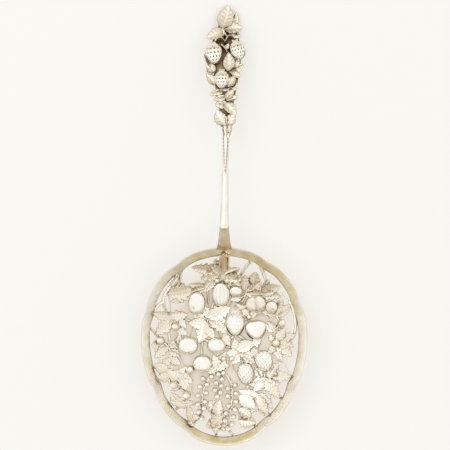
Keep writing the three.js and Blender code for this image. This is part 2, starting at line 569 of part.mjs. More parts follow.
// Sprays of leaves in the bowl, some with their round berries.
const BOWL_SPRAYS = {
  heel_leaf: { leaves: [{ from: [0, 0.98], to: [-0.03, 0.79], width: 6.2 }] },
  top_leaves_left: {
    leaves: [
      { from: [-0.09, 0.85], to: [-0.44, 0.875], width: 6.6 },
      { from: [-0.04, 0.8], to: [-0.19, 0.91], width: 4.4 },
      { from: [-0.07, 0.8], to: [-0.32, 0.75], width: 5.8 },
      { from: [-0.11, 0.75], to: [-0.27, 0.6], width: 5.6 },
      { from: [-0.24, 0.66], to: [-0.48, 0.68], width: 4.8 },
      { from: [-0.26, 0.64], to: [-0.46, 0.59], width: 4 },
    ],
    buds: [[-0.096, 0.715]],
    stalks: [[[-0.12, 0.79], [-0.096, 0.72]], [[-0.22, 0.66], [-0.225, 0.6], [-0.205, 0.46]]],
  },
  top_leaves_right: {
    leaves: [
      { from: [0.01, 0.8], to: [0.21, 0.86], width: 5 },
      { from: [0.02, 0.77], to: [0.26, 0.755], width: 5.6 },
      { from: [0.09, 0.73], to: [0.23, 0.66], width: 4.2 },
    ],
    buds: [[0.035, 0.715]],
    stalks: [[[0.02, 0.79], [0.035, 0.72]]],
  },
  broad_leaf_left: {
    leaves: [
      { from: [-0.45, 0.62], to: [-0.76, 0.58], width: 10 },
      { from: [-0.56, 0.66], to: [-0.74, 0.7], width: 5 },
      { from: [-0.7, 0.67], to: [-0.6, 0.8], width: 4 },
      { from: [-0.5, 0.56], to: [-0.72, 0.49], width: 4.4 },
    ],
  },
  veined_leaf_right: {
    leaves: [
      { from: [0.33, 0.61], to: [0.43, 0.825], width: 8 },
      { from: [0.27, 0.62], to: [0.285, 0.79], width: 5 },
      { from: [0.38, 0.61], to: [0.5, 0.71], width: 4.6 },
      { from: [0.235, 0.535], to: [0.08, 0.51], width: 4.6 },
    ],
    stalks: [
      [[0.3, 0.63], [0.29, 0.56], [0.215, 0.44]],
      [[0.29, 0.57], [0.22, 0.535]],
      [[0.27, 0.63], [0.38, 0.62]],
    ],
  },
  serrated_leaves_right: {
    leaves: [
      { from: [0.5, 0.57], to: [0.76, 0.66], width: 6.2 },
      { from: [0.51, 0.565], to: [0.77, 0.55], width: 5.4 },
      { from: [0.54, 0.57], to: [0.6, 0.74], width: 4.6 },
      { from: [0.55, 0.57], to: [0.29, 0.575], width: 5 },
    ],
  },
  side_leaves_right: {
    leaves: [
      { from: [0.7, 0.33], to: [0.79, 0.52], width: 5.4 },
      { from: [0.71, 0.33], to: [0.9, 0.46], width: 5 },
      { from: [0.73, 0.34], to: [0.5, 0.375], width: 4.6 },
      { from: [0.68, 0.16], to: [0.57, 0.27], width: 5.4 },
    ],
    berries: [[0.775, 0.25]],
    stalks: [[[0.71, 0.34], [0.76, 0.26]], [[0.77, 0.24], [0.68, 0.17]]],
  },
  star_leaves_right: {
    leaves: [
      { from: [0.71, 0.06], to: [0.82, 0.2], width: 5 },
      { from: [0.72, 0.05], to: [0.96, 0.13], width: 5.2 },
      { from: [0.72, 0.03], to: [0.94, 0.005], width: 5 },
      { from: [0.72, 0.01], to: [0.91, -0.115], width: 5.6 },
      { from: [0.7, 0], to: [0.78, -0.16], width: 5 },
      { from: [0.69, 0], to: [0.6, -0.09], width: 4.2 },
      { from: [0.68, 0.05], to: [0.62, 0.13], width: 3.6 },
    ],
    berries: [[0.69, 0.03]],
  },
  rim_leaves_right: {
    leaves: [
      { from: [0.6, -0.35], to: [0.74, -0.19], width: 6 },
      { from: [0.66, -0.345], to: [0.93, -0.33], width: 6 },
    ],
    stalks: [[[0.6, -0.34], [0.68, -0.35]]],
  },
  long_leaves_right: {
    leaves: [
      { from: [0.5, -0.355], to: [0.745, -0.575], width: 7.2 },
      { from: [0.57, -0.38], to: [0.32, -0.43], width: 5.6 },
      { from: [0.54, -0.4], to: [0.4, -0.5], width: 5 },
      { from: [0.58, -0.4], to: [0.75, -0.42], width: 4.2 },
    ],
  },
  lower_leaves_right: {
    leaves: [
      { from: [0.46, -0.55], to: [0.2, -0.5], width: 5 },
      { from: [0.21, -0.555], to: [0.42, -0.69], width: 7.6 },
      { from: [0.33, -0.57], to: [0.57, -0.535], width: 4.6 },
      { from: [0.45, -0.55], to: [0.515, -0.74], width: 4.6 },
      { from: [0.47, -0.55], to: [0.61, -0.77], width: 5.4 },
      { from: [0.48, -0.55], to: [0.66, -0.7], width: 4 },
    ],
  },
  bottom_leaf_right: {
    leaves: [
      { from: [0.19, -0.815], to: [0.43, -0.845], width: 7.4 },
      { from: [0.36, -0.78], to: [0.19, -0.69], width: 5.6 },
    ],
    stalks: [[[0.33, -0.76], [0.44, -0.715], [0.55, -0.77]], [[0.34, -0.77], [0.33, -0.84]]],
  },
  vine_leaf_bottom: {
    leaves: [
      { from: [-0.08, -0.72], to: [-0.12, -0.98], width: 7.2 },
      { from: [-0.08, -0.8], to: [-0.24, -0.9], width: 5.2 },
      { from: [-0.07, -0.82], to: [0.02, -0.94], width: 4.6 },
      { from: [-0.07, -0.77], to: [-0.21, -0.61], width: 7.6 },
      { from: [-0.08, -0.78], to: [-0.06, -0.6], width: 6 },
    ],
  },
  bottom_leaf_left: {
    leaves: [
      { from: [-0.49, -0.815], to: [-0.33, -0.785], width: 4.8 },
      { from: [-0.47, -0.82], to: [-0.49, -0.66], width: 4 },
      { from: [-0.46, -0.8], to: [-0.42, -0.895], width: 4 },
    ],
  },
  lower_leaf_left: {
    leaves: [
      { from: [-0.42, -0.625], to: [-0.66, -0.655], width: 4 },
      { from: [-0.52, -0.65], to: [-0.74, -0.61], width: 5.4 },
      { from: [-0.61, -0.63], to: [-0.72, -0.52], width: 4.8 },
    ],
    berries: [[-0.505, -0.545]],
    stalks: [[[-0.505, -0.56], [-0.53, -0.645]], [[-0.5, -0.54], [-0.6, -0.48]]],
  },
  lobed_leaf_left: {
    leaves: [
      { from: [-0.55, -0.355], to: [-0.81, -0.26], width: 7 },
      { from: [-0.56, -0.36], to: [-0.8, -0.375], width: 6 },
      { from: [-0.6, -0.36], to: [-0.52, -0.49], width: 6.4 },
      { from: [-0.64, -0.36], to: [-0.43, -0.4], width: 6.6 },
      { from: [-0.6, -0.35], to: [-0.51, -0.235], width: 6 },
      { from: [-0.76, -0.29], to: [-0.97, -0.2], width: 5.8 },
      { from: [-0.74, -0.34], to: [-0.93, -0.345], width: 5.4 },
    ],
    berries: [[-0.68, -0.43], [-0.46, -0.265]],
    stalks: [[[-0.46, -0.27], [-0.52, -0.33]], [[-0.67, -0.42], [-0.66, -0.37]]],
  },
  curled_leaves_left: {
    leaves: [
      { from: [-0.76, -0.02], to: [-0.94, -0.13], width: 5.4 },
      { from: [-0.76, 0.04], to: [-0.61, -0.02], width: 4.4 },
      { from: [-0.74, -0.05], to: [-0.6, -0.115], width: 4.4 },
      { from: [-0.73, -0.14], to: [-0.595, -0.205], width: 4.6 },
      { from: [-0.73, -0.14], to: [-0.84, -0.25], width: 4.4 },
      { from: [-0.86, 0.03], to: [-1.03, 0], width: 5 },
    ],
    berries: [[-0.855, 0.06]],
    stalks: [[[-0.85, 0.05], [-0.75, -0.03], [-0.72, -0.16]]],
  },
  star_leaves_left: {
    leaves: [
      { from: [-0.73, 0.32], to: [-0.97, 0.37], width: 5 },
      { from: [-0.73, 0.31], to: [-0.92, 0.13], width: 7.4 },
      { from: [-0.75, 0.325], to: [-0.49, 0.345], width: 6 },
      { from: [-0.745, 0.3], to: [-0.79, 0.13], width: 4.2 },
      { from: [-0.64, 0.19], to: [-0.5, 0.13], width: 4.8 },
    ],
    berries: [[-0.655, 0.21]],
    stalks: [[[-0.655, 0.21], [-0.74, 0.3]]],
  },
  centre_leaves_left: {
    leaves: [
      { from: [-0.25, 0.265], to: [-0.34, 0.035], width: 8 },
      { from: [-0.23, 0.24], to: [-0.48, 0.25], width: 6.4 },
    ],
  },
  centre_leaves_middle: {
    leaves: [
      { from: [-0.2, 0.31], to: [0.07, 0.42], width: 7.4 },
      { from: [-0.2, 0.29], to: [0.04, 0.13], width: 6.6 },
      { from: [-0.2, 0.31], to: [-0.26, 0.44], width: 5.6 },
      { from: [-0.15, 0.3], to: [0.02, 0.28], width: 5.4 },
    ],
  },
  centre_leaves_right: {
    leaves: [
      { from: [0.19, -0.085], to: [0.14, 0.075], width: 5.6 },
      { from: [0.18, -0.05], to: [0.42, 0.03], width: 6.6 },
      { from: [0.19, -0.075], to: [0.4, -0.115], width: 5.4 },
      { from: [0.19, -0.07], to: [0.03, -0.085], width: 5.4 },
    ],
  },
  middle_leaves: {
    leaves: [
      { from: [-0.1, -0.29], to: [-0.15, -0.1], width: 5.6 },
      { from: [-0.09, -0.275], to: [0.02, -0.165], width: 4.4 },
    ],
  },
  bud_sprig: {
    leaves: [
      { from: [0.33, 0.33], to: [0.23, 0.42], width: 4.6 },
      { from: [0.33, 0.33], to: [0.45, 0.365], width: 3.6 },
    ],
    buds: [[0.335, 0.32]],
    stalks: [[[0.335, 0.32], [0.27, 0.28]]],
  },
};

const FINIAL_FRUIT = {
  finial_strawberry_left: {
    at: [-0.485, 0.6], wide: 7.8, long: 9.8, high: 5, turn: 6, taper: 0.25, star: 5.6,
  },
  finial_strawberry_right: {
    at: [0.65, 0.625], wide: 6.8, long: 8.2, high: 4.6, turn: 16, taper: 0.25, star: 5.8,
  },
  finial_strawberry_lower: {
    at: [-0.115, 0.385], wide: 6.7, long: 8.4, high: 4.8, taper: 0.25, star: 5,
  },
};

const FINIAL_SPRAYS = {
  finial_tip_leaf: { leaves: [{ from: [-0.12, 0.815], to: [0.2, 1], width: 8.4, lift: 1 }] },
  finial_upper_leaves_right: {
    leaves: [
      { from: [0, 0.81], to: [0.87, 0.815], width: 6, lift: 0.6 },
      { from: [0.33, 0.83], to: [0.56, 0.945], width: 4.6, lift: 0.6 },
      { from: [0.25, 0.79], to: [0.75, 0.735], width: 4.6 },
    ],
  },
  finial_upper_leaf_left: {
    leaves: [{ from: [-0.04, 0.795], to: [-0.84, 0.725], width: 7.4 }],
    stalks: [
      [[-0.06, 0.79], [0, 0.75], [-0.08, 0.725]],
      [[0, 0.76], [0.12, 0.725]],
      [[-0.36, 0.685], [-0.3, 0.712], [-0.14, 0.722], [0.02, 0.71], [0.08, 0.685]],
      [[0.08, 0.69], [0.15, 0.715], [0.3, 0.733], [0.45, 0.728], [0.56, 0.705]],
    ],
  },
  finial_side_leaves_right: {
    leaves: [
      { from: [0.18, 0.46], to: [0.2, 0.612], width: 6.2 },
      { from: [0.22, 0.445], to: [0.92, 0.51], width: 6 },
      { from: [0.36, 0.44], to: [0.78, 0.415], width: 4.2 },
      { from: [0.4, 0.49], to: [0.78, 0.575], width: 4.8 },
      { from: [0.17, 0.33], to: [0.53, 0.415], width: 4.8 },
    ],
  },
  finial_side_leaves_left: {
    leaves: [
      { from: [-0.42, 0.46], to: [-0.87, 0.5], width: 5.6 },
      { from: [-0.45, 0.48], to: [-0.95, 0.6], width: 5 },
      { from: [-0.44, 0.445], to: [-0.88, 0.445], width: 5 },
      { from: [-0.42, 0.345], to: [-0.84, 0.43], width: 5.2 },
    ],
  },
  finial_lower_leaves: {
    leaves: [
      { from: [-0.25, 0.31], to: [0.54, 0.33], width: 3.8 },
      { from: [-0.08, 0.295], to: [-0.68, 0.245], width: 5 },
      { from: [0.1, 0.25], to: [-0.47, 0.21], width: 4.8 },
      { from: [0.08, 0.235], to: [0.44, 0.305], width: 4.8 },
      { from: [0.1, 0.23], to: [0.64, 0.255], width: 4.6 },
    ],
  },
  finial_foot_leaves: {
    leaves: [
      { from: [0.14, 0.185], to: [-0.44, 0.185], width: 4.6 },
      { from: [0.02, 0.195], to: [0.56, 0.1], width: 5.4 },
      { from: [0.1, 0.015], to: [-0.36, 0.14], width: 6.4 },
      { from: [0.18, 0.012], to: [0.46, 0.115], width: 5.2 },
    ],
  },
};

// Assembly: each piece becomes a named mesh, cut back by the neighbours already placed.
function addPiece(group, name, solid, finish) {
  const mesh = new THREE.Mesh(geometryOf(solid), new THREE.MeshStandardMaterial(FINISHES[finish]));
  mesh.name = name;
  group.add(mesh);
}

function addCutBack(group, name, solid, grown, finish, placed) {
  const near = placed.filter((other) => boxesMeet(solid, other));
  const cut = near.reduce((rest, other) => rest.subtract(other), solid);
  addPiece(group, name, mainBody(cut), finish);
  placed.push(grown);
}

function addAll(group, forms, build, place, finish, placed) {
  for (const [name, form] of Object.entries(forms)) {
    addCutBack(group, name, build(form, place, 0), build(form, place, SOLDER_GAP), finish, placed);
  }
}

const bowl = new THREE.Group();
addPiece(bowl, "bowl_rim", rimSolid(), "satin");
addAll(bowl, VINES, vineSolid, BOWL, "satin", [pastRim()]);
const bowlPlaced = [neckSolid(SOLDER_GAP)];
addAll(bowl, FRUIT, fruitSolid, BOWL, "polished", bowlPlaced);
addAll(bowl, TRUSSES, trussSolid, BOWL, "polished", bowlPlaced);
addAll(bowl, BOWL_SPRAYS, spraySolid, BOWL, "darkened", bowlPlaced);

const handle = new THREE.Group();
addPiece(handle, "neck", neckSolid(0), "satin");
addPiece(handle, "stem", stemSolid(), "satin");
addPiece(handle, "stem_reed", reedSolid(), "satin");
addPiece(handle, "finial_plate", plateSolid(), "darkened");
const finialPlaced = [];
addAll(handle, FINIAL_FRUIT, fruitSolid, FINIAL, "polished", finialPlaced);
addAll(handle, FINIAL_SPRAYS, spraySolid, FINIAL, "darkened", finialPlaced);

// The spoon's origin is under the middle of its box, on the table that it lies on.
const spoon = new THREE.Group();
const parts = new THREE.Group();
parts.add(bowl, handle);
spoon.add(parts);
const box = new THREE.Box3().setFromObject(parts);
const middle = box.getCenter(new THREE.Vector3());
parts.position.set(-middle.x, -middle.y, -box.min.z);

export default spoon;
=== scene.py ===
# %% [markdown]
# # A berry spoon of silver
# The spoon has an openwork bowl: vines of half-round wire are soldered inside a scalloped rim, and cast
# leaves and fruit are soldered on the vines. An arched stem carries a finial of strawberries and leaves.
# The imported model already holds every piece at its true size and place, so this lesson dresses each one
# in turn: it models the fine shape, lays it where the plain solid lies, and gives it a silver finish.

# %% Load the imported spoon
import math
import random
from collections import namedtuple

import bmesh
import bpy
from mathutils import Matrix, Vector
from mathutils.kdtree import KDTree


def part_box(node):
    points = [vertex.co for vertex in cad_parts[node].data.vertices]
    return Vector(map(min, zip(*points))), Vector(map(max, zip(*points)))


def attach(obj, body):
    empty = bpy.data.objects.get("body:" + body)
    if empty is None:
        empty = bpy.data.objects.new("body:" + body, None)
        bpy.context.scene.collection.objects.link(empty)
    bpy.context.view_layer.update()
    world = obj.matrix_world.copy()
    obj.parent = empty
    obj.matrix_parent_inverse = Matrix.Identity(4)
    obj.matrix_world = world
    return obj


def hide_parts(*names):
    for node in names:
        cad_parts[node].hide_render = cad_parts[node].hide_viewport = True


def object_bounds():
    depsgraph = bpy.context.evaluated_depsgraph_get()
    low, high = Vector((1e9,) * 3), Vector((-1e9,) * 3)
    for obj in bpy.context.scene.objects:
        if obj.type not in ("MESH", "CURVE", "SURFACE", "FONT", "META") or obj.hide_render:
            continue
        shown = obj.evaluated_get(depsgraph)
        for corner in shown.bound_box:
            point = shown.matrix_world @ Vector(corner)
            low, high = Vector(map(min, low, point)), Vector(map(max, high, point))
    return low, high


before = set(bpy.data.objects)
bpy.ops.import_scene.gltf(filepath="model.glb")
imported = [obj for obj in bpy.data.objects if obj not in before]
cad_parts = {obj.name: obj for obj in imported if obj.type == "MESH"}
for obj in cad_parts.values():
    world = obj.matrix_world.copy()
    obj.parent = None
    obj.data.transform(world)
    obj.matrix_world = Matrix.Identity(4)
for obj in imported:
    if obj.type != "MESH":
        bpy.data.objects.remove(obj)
cad_low, cad_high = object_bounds()
packed_length = round((cad_high - cad_low).y * 1000, 1)
print("the packed spoon has", len(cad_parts), "pieces and is", packed_length, "mm long")

# %% [markdown]
# ## The camera
# The photograph looks straight down on the spoon from far away, so a long lens high above the middle of
# the spoon gives the same view. One pixel of the photograph shows half a millimetre, and the bowl's
# middle lies at a known pixel, which is enough to work out where the camera hangs and how long its lens
# has to be.

# %% Hang the camera over the spoon
IMAGE_PIXELS = 450
PIXEL_SIZE = 0.0005
BOWL_MIDDLE_PIXEL = Vector((224.2, 346.2))
CAMERA_HEIGHT = 2.0
FOCUS_HEIGHT = 0.01

rim_low, rim_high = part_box("bowl_rim")
bowl_middle = (rim_low + rim_high) / 2
camera_data = bpy.data.cameras.new("photo_camera")
camera_data.lens = camera_data.sensor_width * (CAMERA_HEIGHT - FOCUS_HEIGHT) / (IMAGE_PIXELS * PIXEL_SIZE)
camera = bpy.data.objects.new("photo_camera", camera_data)
camera.location = (
    bowl_middle.x + (IMAGE_PIXELS / 2 - BOWL_MIDDLE_PIXEL.x) * PIXEL_SIZE,
    bowl_middle.y + (BOWL_MIDDLE_PIXEL.y - IMAGE_PIXELS / 2) * PIXEL_SIZE,
    CAMERA_HEIGHT,
)
bpy.context.scene.collection.objects.link(camera)
bpy.context.scene.camera = camera
print("the lens is", round(camera_data.lens), "mm long")

# %% [markdown]
# ## Where things lie
# A silversmith bends the whole openwork into a bowl after laying it out flat. The same trick works here:
# every leaf and fruit is placed by its plan, in millimetres from the bowl's middle, and one function says
# how high the bowl's back is under any point of the plan. A second function does the same for the arched
# handle.

# %% The bowl's surface and the handle's arch
MM = 0.001
EGG_TAPER = 0.085
EGG_BULGE = 1.0036
BOWL_LENGTH = (rim_high.y - rim_low.y) / MM
BOWL_WIDTH = (rim_high.x - rim_low.x) / MM / EGG_BULGE
BOWL_DEPTH = 14
BOWL_FLOOR_LENGTH = 40
FLOOR_SHARE = BOWL_FLOOR_LENGTH / BOWL_LENGTH
WALL_CURVE = 1.8
RIM_WIDTH = 4.3
HANDLE_RISE = 21.5
HANDLE_LEAN = 0.9

stem_low, stem_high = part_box("stem")
plate_low, plate_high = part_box("finial_plate")
NECK_JOINT = (stem_low.y - bowl_middle.y) / MM
FINIAL_FOOT = (stem_high.y - bowl_middle.y) / MM
PLATE_END = (plate_high.y - bowl_middle.y) / MM
ARCH_REACH = PLATE_END - NECK_JOINT
ARCH_RADIUS = (ARCH_REACH ** 2 + HANDLE_RISE ** 2) / (2 * HANDLE_RISE)


def bowl_height(x, y):
    """How high the bowl's back lies: flat in the middle, then a wall that climbs ever more steeply."""
    along = y / (BOWL_LENGTH / 2)
    across = x / ((BOWL_WIDTH / 2) * (1 + EGG_TAPER * along))
    climb = (math.hypot(across, along) - FLOOR_SHARE) / (1 - FLOOR_SHARE)
    return BOWL_DEPTH * max(climb, 0) ** WALL_CURVE


def on_bowl(x, y, height):
    return Vector((x, y, bowl_height(x, y) + height))


def on_handle(x, y, height):
    lean = math.asin((y - NECK_JOINT) / ARCH_RADIUS)
    return Vector((x, y, HANDLE_RISE - ARCH_RADIUS * (1 - math.cos(lean)) + height))


wall_height = round(bowl_height(0, BOWL_LENGTH / 2), 1)
print("the wall is", wall_height, "mm high and the arch", HANDLE_RISE, "mm")

# %% Places as shares of the openwork and of the finial
VINE_HEIGHT = 1.5
SOLDER_GAP = 0.25
PLATE_THICKNESS = 1.3
FINIAL_WIDTH = 21
TIP_REACH = 3.8
FINIAL_LENGTH = PLATE_END - FINIAL_FOOT + TIP_REACH

Ground = namedtuple("Ground", "plan lay seat")


def in_bowl(share):
    half_width, half_length = BOWL_WIDTH / 2 - RIM_WIDTH, BOWL_LENGTH / 2 - RIM_WIDTH
    return Vector((share[0] * half_width, share[1] * half_length))


def in_finial(share):
    return Vector((share[0] * FINIAL_WIDTH / 2, FINIAL_FOOT + share[1] * FINIAL_LENGTH))


BOWL = Ground(in_bowl, on_bowl, VINE_HEIGHT + SOLDER_GAP)
FINIAL = Ground(in_finial, on_handle, PLATE_THICKNESS + SOLDER_GAP)
print("the finial is", round(FINIAL_LENGTH, 1), "mm long")

# %% [markdown]
# ## The silver
# Old silver is bright where hands and cloths rub it, and brown where they can't reach. One material
# recipe does for the whole spoon: clean metal, clouded here and there by tarnish with rusty spots in it,
# and darkened in the hollows, partly by patina and partly by painted shade. Hollows between pieces are
# found by ambient occlusion. Two attributes come from the modelling steps: one darkens engraved lines,
# veins and seed pits, and also paints shade along edges, at the feet of leaves and fruit and low on the
# wires; the stain says how tarnished a region is. Each finish is the same recipe with its own polish, and
# its own dark colour for grime, patina and painted shade.

# %% Helpers that link shader nodes
def link_math(tree, operation, first, second):
    """Two sockets or numbers through a clamped Math node."""
    node = tree.nodes.new("ShaderNodeMath")
    node.operation = operation
    node.use_clamp = True
    for socket, value in zip(node.inputs, (first, second)):
        if isinstance(value, (int, float)):
            socket.default_value = value
        else:
            tree.links.new(value, socket)
    return node.outputs["Value"]


def link_mix(tree, factor, first, second):
    """Two colours, or sockets that carry one, through a Mix node."""
    node = tree.nodes.new("ShaderNodeMix")
    node.data_type = "RGBA"
    tree.links.new(factor, node.inputs["Factor"])
    for name, value in (("A", first), ("B", second)):
        socket = next(item for item in node.inputs if item.name == name and item.type == "RGBA")
        if isinstance(value, tuple):
            socket.default_value = (*value, 1)
        else:
            tree.links.new(value, socket)
    return next(item for item in node.outputs if item.type == "RGBA")


def link_noise(tree, place, scale, detail=2):
    noise = tree.nodes.new("ShaderNodeTexNoise")
    noise.inputs["Scale"].default_value = scale
    noise.inputs["Detail"].default_value = detail
    tree.links.new(place, noise.inputs["Vector"])
    return noise.outputs["Fac"]


def link_attribute(tree, name):
    node = tree.nodes.new("ShaderNodeAttribute")
    node.attribute_name = name
    return node.outputs["Fac"]


def link_openness(tree, reach):
    """1 in the open, and darker the more metal lies within reach, which is in metres."""
    node = tree.nodes.new("ShaderNodeAmbientOcclusion")
    node.inputs["Distance"].default_value = reach
    return node.outputs["AO"]


def link_range(tree, value, low, high, interpolation="LINEAR"):
    """A socket stretched so that low turns to 0 and high to 1."""
    node = tree.nodes.new("ShaderNodeMapRange")
    node.interpolation_type = interpolation
    node.inputs["From Min"].default_value = low
    node.inputs["From Max"].default_value = high
    tree.links.new(value, node.inputs["Value"])
    return node.outputs["Result"]


# %% A recipe for silver
# This attribute darkens engraved lines, veins and pits, and also holds painted shade at edges and feet.
RECESS_AND_SHADE = "recess_and_shade"
STAIN = "stain"
CREVICE = 1.8
CLOUD_SCALE = 190
CLOUD_DETAIL = 5
CLOUD_START = 0.42
MOTTLE_START = 0.2
MOTTLE_CONTRAST = 2.4
SPOT_SCALE = 330
SPOT_START = 0.52
RUST = (0.8, 0.6, 0.37)
RUSTINESS = 4
SCUFF = 0.14
SCUFF_SCALE = 2400
SCUFF_BUMP = 0.25
SCUFF_DEPTH = 0.00003
DIRT_DULLNESS = 0.3
Finish = namedtuple("Finish", "clean cloud dirt roughness hollow clouding reach", defaults=(0.0014,))


def silver(name, finish):
    material = bpy.data.materials.new(name)
    material.use_nodes = True
    tree = material.node_tree
    shader = tree.nodes["Principled BSDF"]
    shader.inputs["Metallic"].default_value = 1
    place = tree.nodes.new("ShaderNodeTexCoord").outputs["Object"]
    clouds = link_noise(tree, place, CLOUD_SCALE, CLOUD_DETAIL)
    scuffs = link_noise(tree, place, SCUFF_SCALE)
    spots = link_noise(tree, place, SPOT_SCALE)

    # Ambient occlusion darkens hollows and the metal between pieces: patina, and painted shade.
    closed = link_math(tree, "SUBTRACT", 1.0, link_openness(tree, finish.reach))
    crevice = link_math(tree, "POWER", closed, CREVICE)
    hollow = link_math(tree, "MULTIPLY", crevice, finish.hollow)
    depth = link_math(tree, "ADD", hollow, link_attribute(tree, RECESS_AND_SHADE))

    patch = link_math(tree, "SUBTRACT", clouds, CLOUD_START)
    cloudy = link_math(tree, "MULTIPLY", patch, finish.clouding)
    mottled = link_math(tree, "SUBTRACT", clouds, MOTTLE_START)
    mottled = link_math(tree, "MULTIPLY", mottled, MOTTLE_CONTRAST)
    tarnish = link_math(tree, "MULTIPLY", link_attribute(tree, STAIN), mottled)
    cloudy = link_math(tree, "ADD", cloudy, tarnish)
    rusty = link_math(tree, "SUBTRACT", spots, SPOT_START)
    rusty = link_math(tree, "MULTIPLY", rusty, RUSTINESS)
    tint = link_mix(tree, rusty, finish.cloud, RUST)
    metal = link_mix(tree, cloudy, finish.clean, tint)
    # Deep places turn towards the finish's dark colour: grime and patina, and painted shade.
    tree.links.new(link_mix(tree, depth, metal, finish.dirt), shader.inputs["Base Color"])

    worn = link_math(tree, "MULTIPLY", scuffs, SCUFF)
    dull = link_math(tree, "MULTIPLY", depth, DIRT_DULLNESS)
    rough = link_math(tree, "ADD", worn, dull)
    tree.links.new(link_math(tree, "ADD", rough, finish.roughness), shader.inputs["Roughness"])
    bump = tree.nodes.new("ShaderNodeBump")
    bump.inputs["Strength"].default_value = SCUFF_BUMP
    bump.inputs["Distance"].default_value = SCUFF_DEPTH
    tree.links.new(scuffs, bump.inputs["Height"])
    tree.links.new(bump.outputs["Normal"], shader.inputs["Normal"])
    return material


# %% The spoon's finishes
# Each finish's third colour is its dark colour, for grime, patina and painted shade.
CLEAN = (0.965, 0.945, 0.885)
WARM = (0.985, 0.935, 0.83)
CREAM = (0.985, 0.9, 0.75)
OLIVE = (0.80, 0.70, 0.45)
ROSE = (0.78, 0.66, 0.50)
BROWN = (0.35, 0.255, 0.15)
DEEP_BROWN = (0.15, 0.095, 0.055)

RIM_SILVER = silver("rim_silver", Finish(CLEAN, OLIVE, BROWN, 0.26, 0.3, 1.6))
VINE_SILVER = silver("vine_silver", Finish(CLEAN, OLIVE, BROWN, 0.3, 0.7, 1.6))
FRUIT_SILVER = silver("fruit_silver", Finish(CLEAN, ROSE, BROWN, 0.14, 0.6, 0.3))
CURRANT_SILVER = silver("currant_silver", Finish(CLEAN, ROSE, BROWN, 0.16, 0.7, 0.5))
LEAF_SILVER = silver("leaf_silver", Finish(WARM, ROSE, BROWN, 0.2, 0.45, 0.5))
HANDLE_SILVER = silver("handle_silver", Finish(CLEAN, OLIVE, DEEP_BROWN, 0.22, 0.6, 0.9))
FINIAL_SILVER = silver("finial_silver", Finish(CREAM, ROSE, DEEP_BROWN, 0.2, 0.6, 0.6, 0.0024))
SEEDED_SILVER = silver("seeded_silver", Finish(WARM, ROSE, DEEP_BROWN, 0.14, 0.6, 0.3))
# The finial's plate is dark brown all over: patina, and painted shade between the leaves.
PLATE_PATINA_AND_SHADE = silver("recess_silver", Finish(BROWN, DEEP_BROWN, DEEP_BROWN, 0.4, 1.4, 1.8, 0.003))
print("the spoon has", len(bpy.data.materials), "materials")

# %% [markdown]
# ## From a shape to a piece of the spoon
# Every shape is modelled in millimetres round the bowl's middle. One helper finishes them all: it merges
# doubled vertices, points the faces outwards, moves the shape to its place in metres and hands it to the
# frame, which then hides the plain solid that the piece stands for. Edges sharper than 50 degrees stay
# crisp.

# %% Start and finish a shape
SHARP_ANGLE = math.radians(50)
MERGE_DISTANCE = 1e-4
SPOON_FROM_BOWL = Matrix.Translation((bowl_middle.x, bowl_middle.y, 0)) @ Matrix.Scale(MM, 4)


def start_shape():
    shape = bmesh.new()
    shape.verts.layers.float.new(RECESS_AND_SHADE)
    shape.verts.layers.float.new(STAIN)
    return shape


def stain_all(shape, amount):
    stain = shape.verts.layers.float[STAIN]
    for vert in shape.verts:
        vert[stain] = amount


def finish_piece(shape, node, material):
    bmesh.ops.remove_doubles(shape, verts=shape.verts, dist=MERGE_DISTANCE)
    bmesh.ops.recalc_face_normals(shape, faces=shape.faces)
    bmesh.ops.transform(shape, matrix=SPOON_FROM_BOWL, verts=shape.verts)
    for face in shape.faces:
        face.smooth = True
    for edge in shape.edges:
        edge.smooth = edge.calc_face_angle(0) < SHARP_ANGLE
    mesh = bpy.data.meshes.new("silver_" + node)
    shape.to_mesh(mesh)
    shape.free()
    mesh.materials.append(material)
    piece = bpy.data.objects.new("silver_" + node, mesh)
    bpy.context.scene.collection.objects.link(piece)
    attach(piece, "root")
    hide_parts(node)


# %% [markdown]
# ## The rim
# The rim is a band with a softly rounded top, hammered to the bowl's slope, with shallow notches that
# divide it into lobes. A ring like this could be bent from a bar, but a spin is shorter: the band's
# section is spun once round, and each vertex then moves from its place on the plain ring to its place on
# the egg-shaped outline. The band is tarnished beside the neck and at the foot of the bowl, and has
# painted shade along both edges.

# %% The egg-shaped, notched outline
NOTCH_DEPTH = 0.8
NOTCH_SPREAD = 5
NOTCH_HEADINGS = (30, 63, 120, 156, 211, 244, 297, 330)


def hill(distance, width):
    """A smooth bump: 1 where the distance is 0, and nearly 0 past twice the width."""
    return math.exp(-((distance / width) ** 2))


def notch_at(heading):
    """How much of a notch's full depth is cut at this heading, in degrees from +X."""
    offs = [(heading - notch + 180) % 360 - 180 for notch in NOTCH_HEADINGS]
    return sum(hill(off, NOTCH_SPREAD) for off in offs)


def outline_point(turn, inset):
    x = BOWL_WIDTH / 2 * math.cos(turn) * (1 + EGG_TAPER * math.sin(turn))
    y = BOWL_LENGTH / 2 * math.sin(turn)
    reach = math.hypot(x, y)
    keep = 1 - (NOTCH_DEPTH * notch_at(math.degrees(math.atan2(y, x))) + inset) / reach
    return Vector((x * keep, y * keep))


print("the rim has", len(NOTCH_HEADINGS), "notches")

# %% Where the rim is tarnished, and where shade is painted on it
RIM_CREST = 1.6
Patch = namedtuple("Patch", "heading spread strength")
FOOT_PATCH = Patch(272, 34, 0.6)
RIM_PATCHES = (Patch(50, 26, 0.95), Patch(100, 20, 0.35), FOOT_PATCH)
OUTER_EDGE_SHARE = 0.45
INNER_SLOPE_STAIN = 0.12
OUTER_LINE = 0.16
INNER_LINE = 0.14
LINE_DARK = 0.6
FOOT_LINE_DARK = 0.35


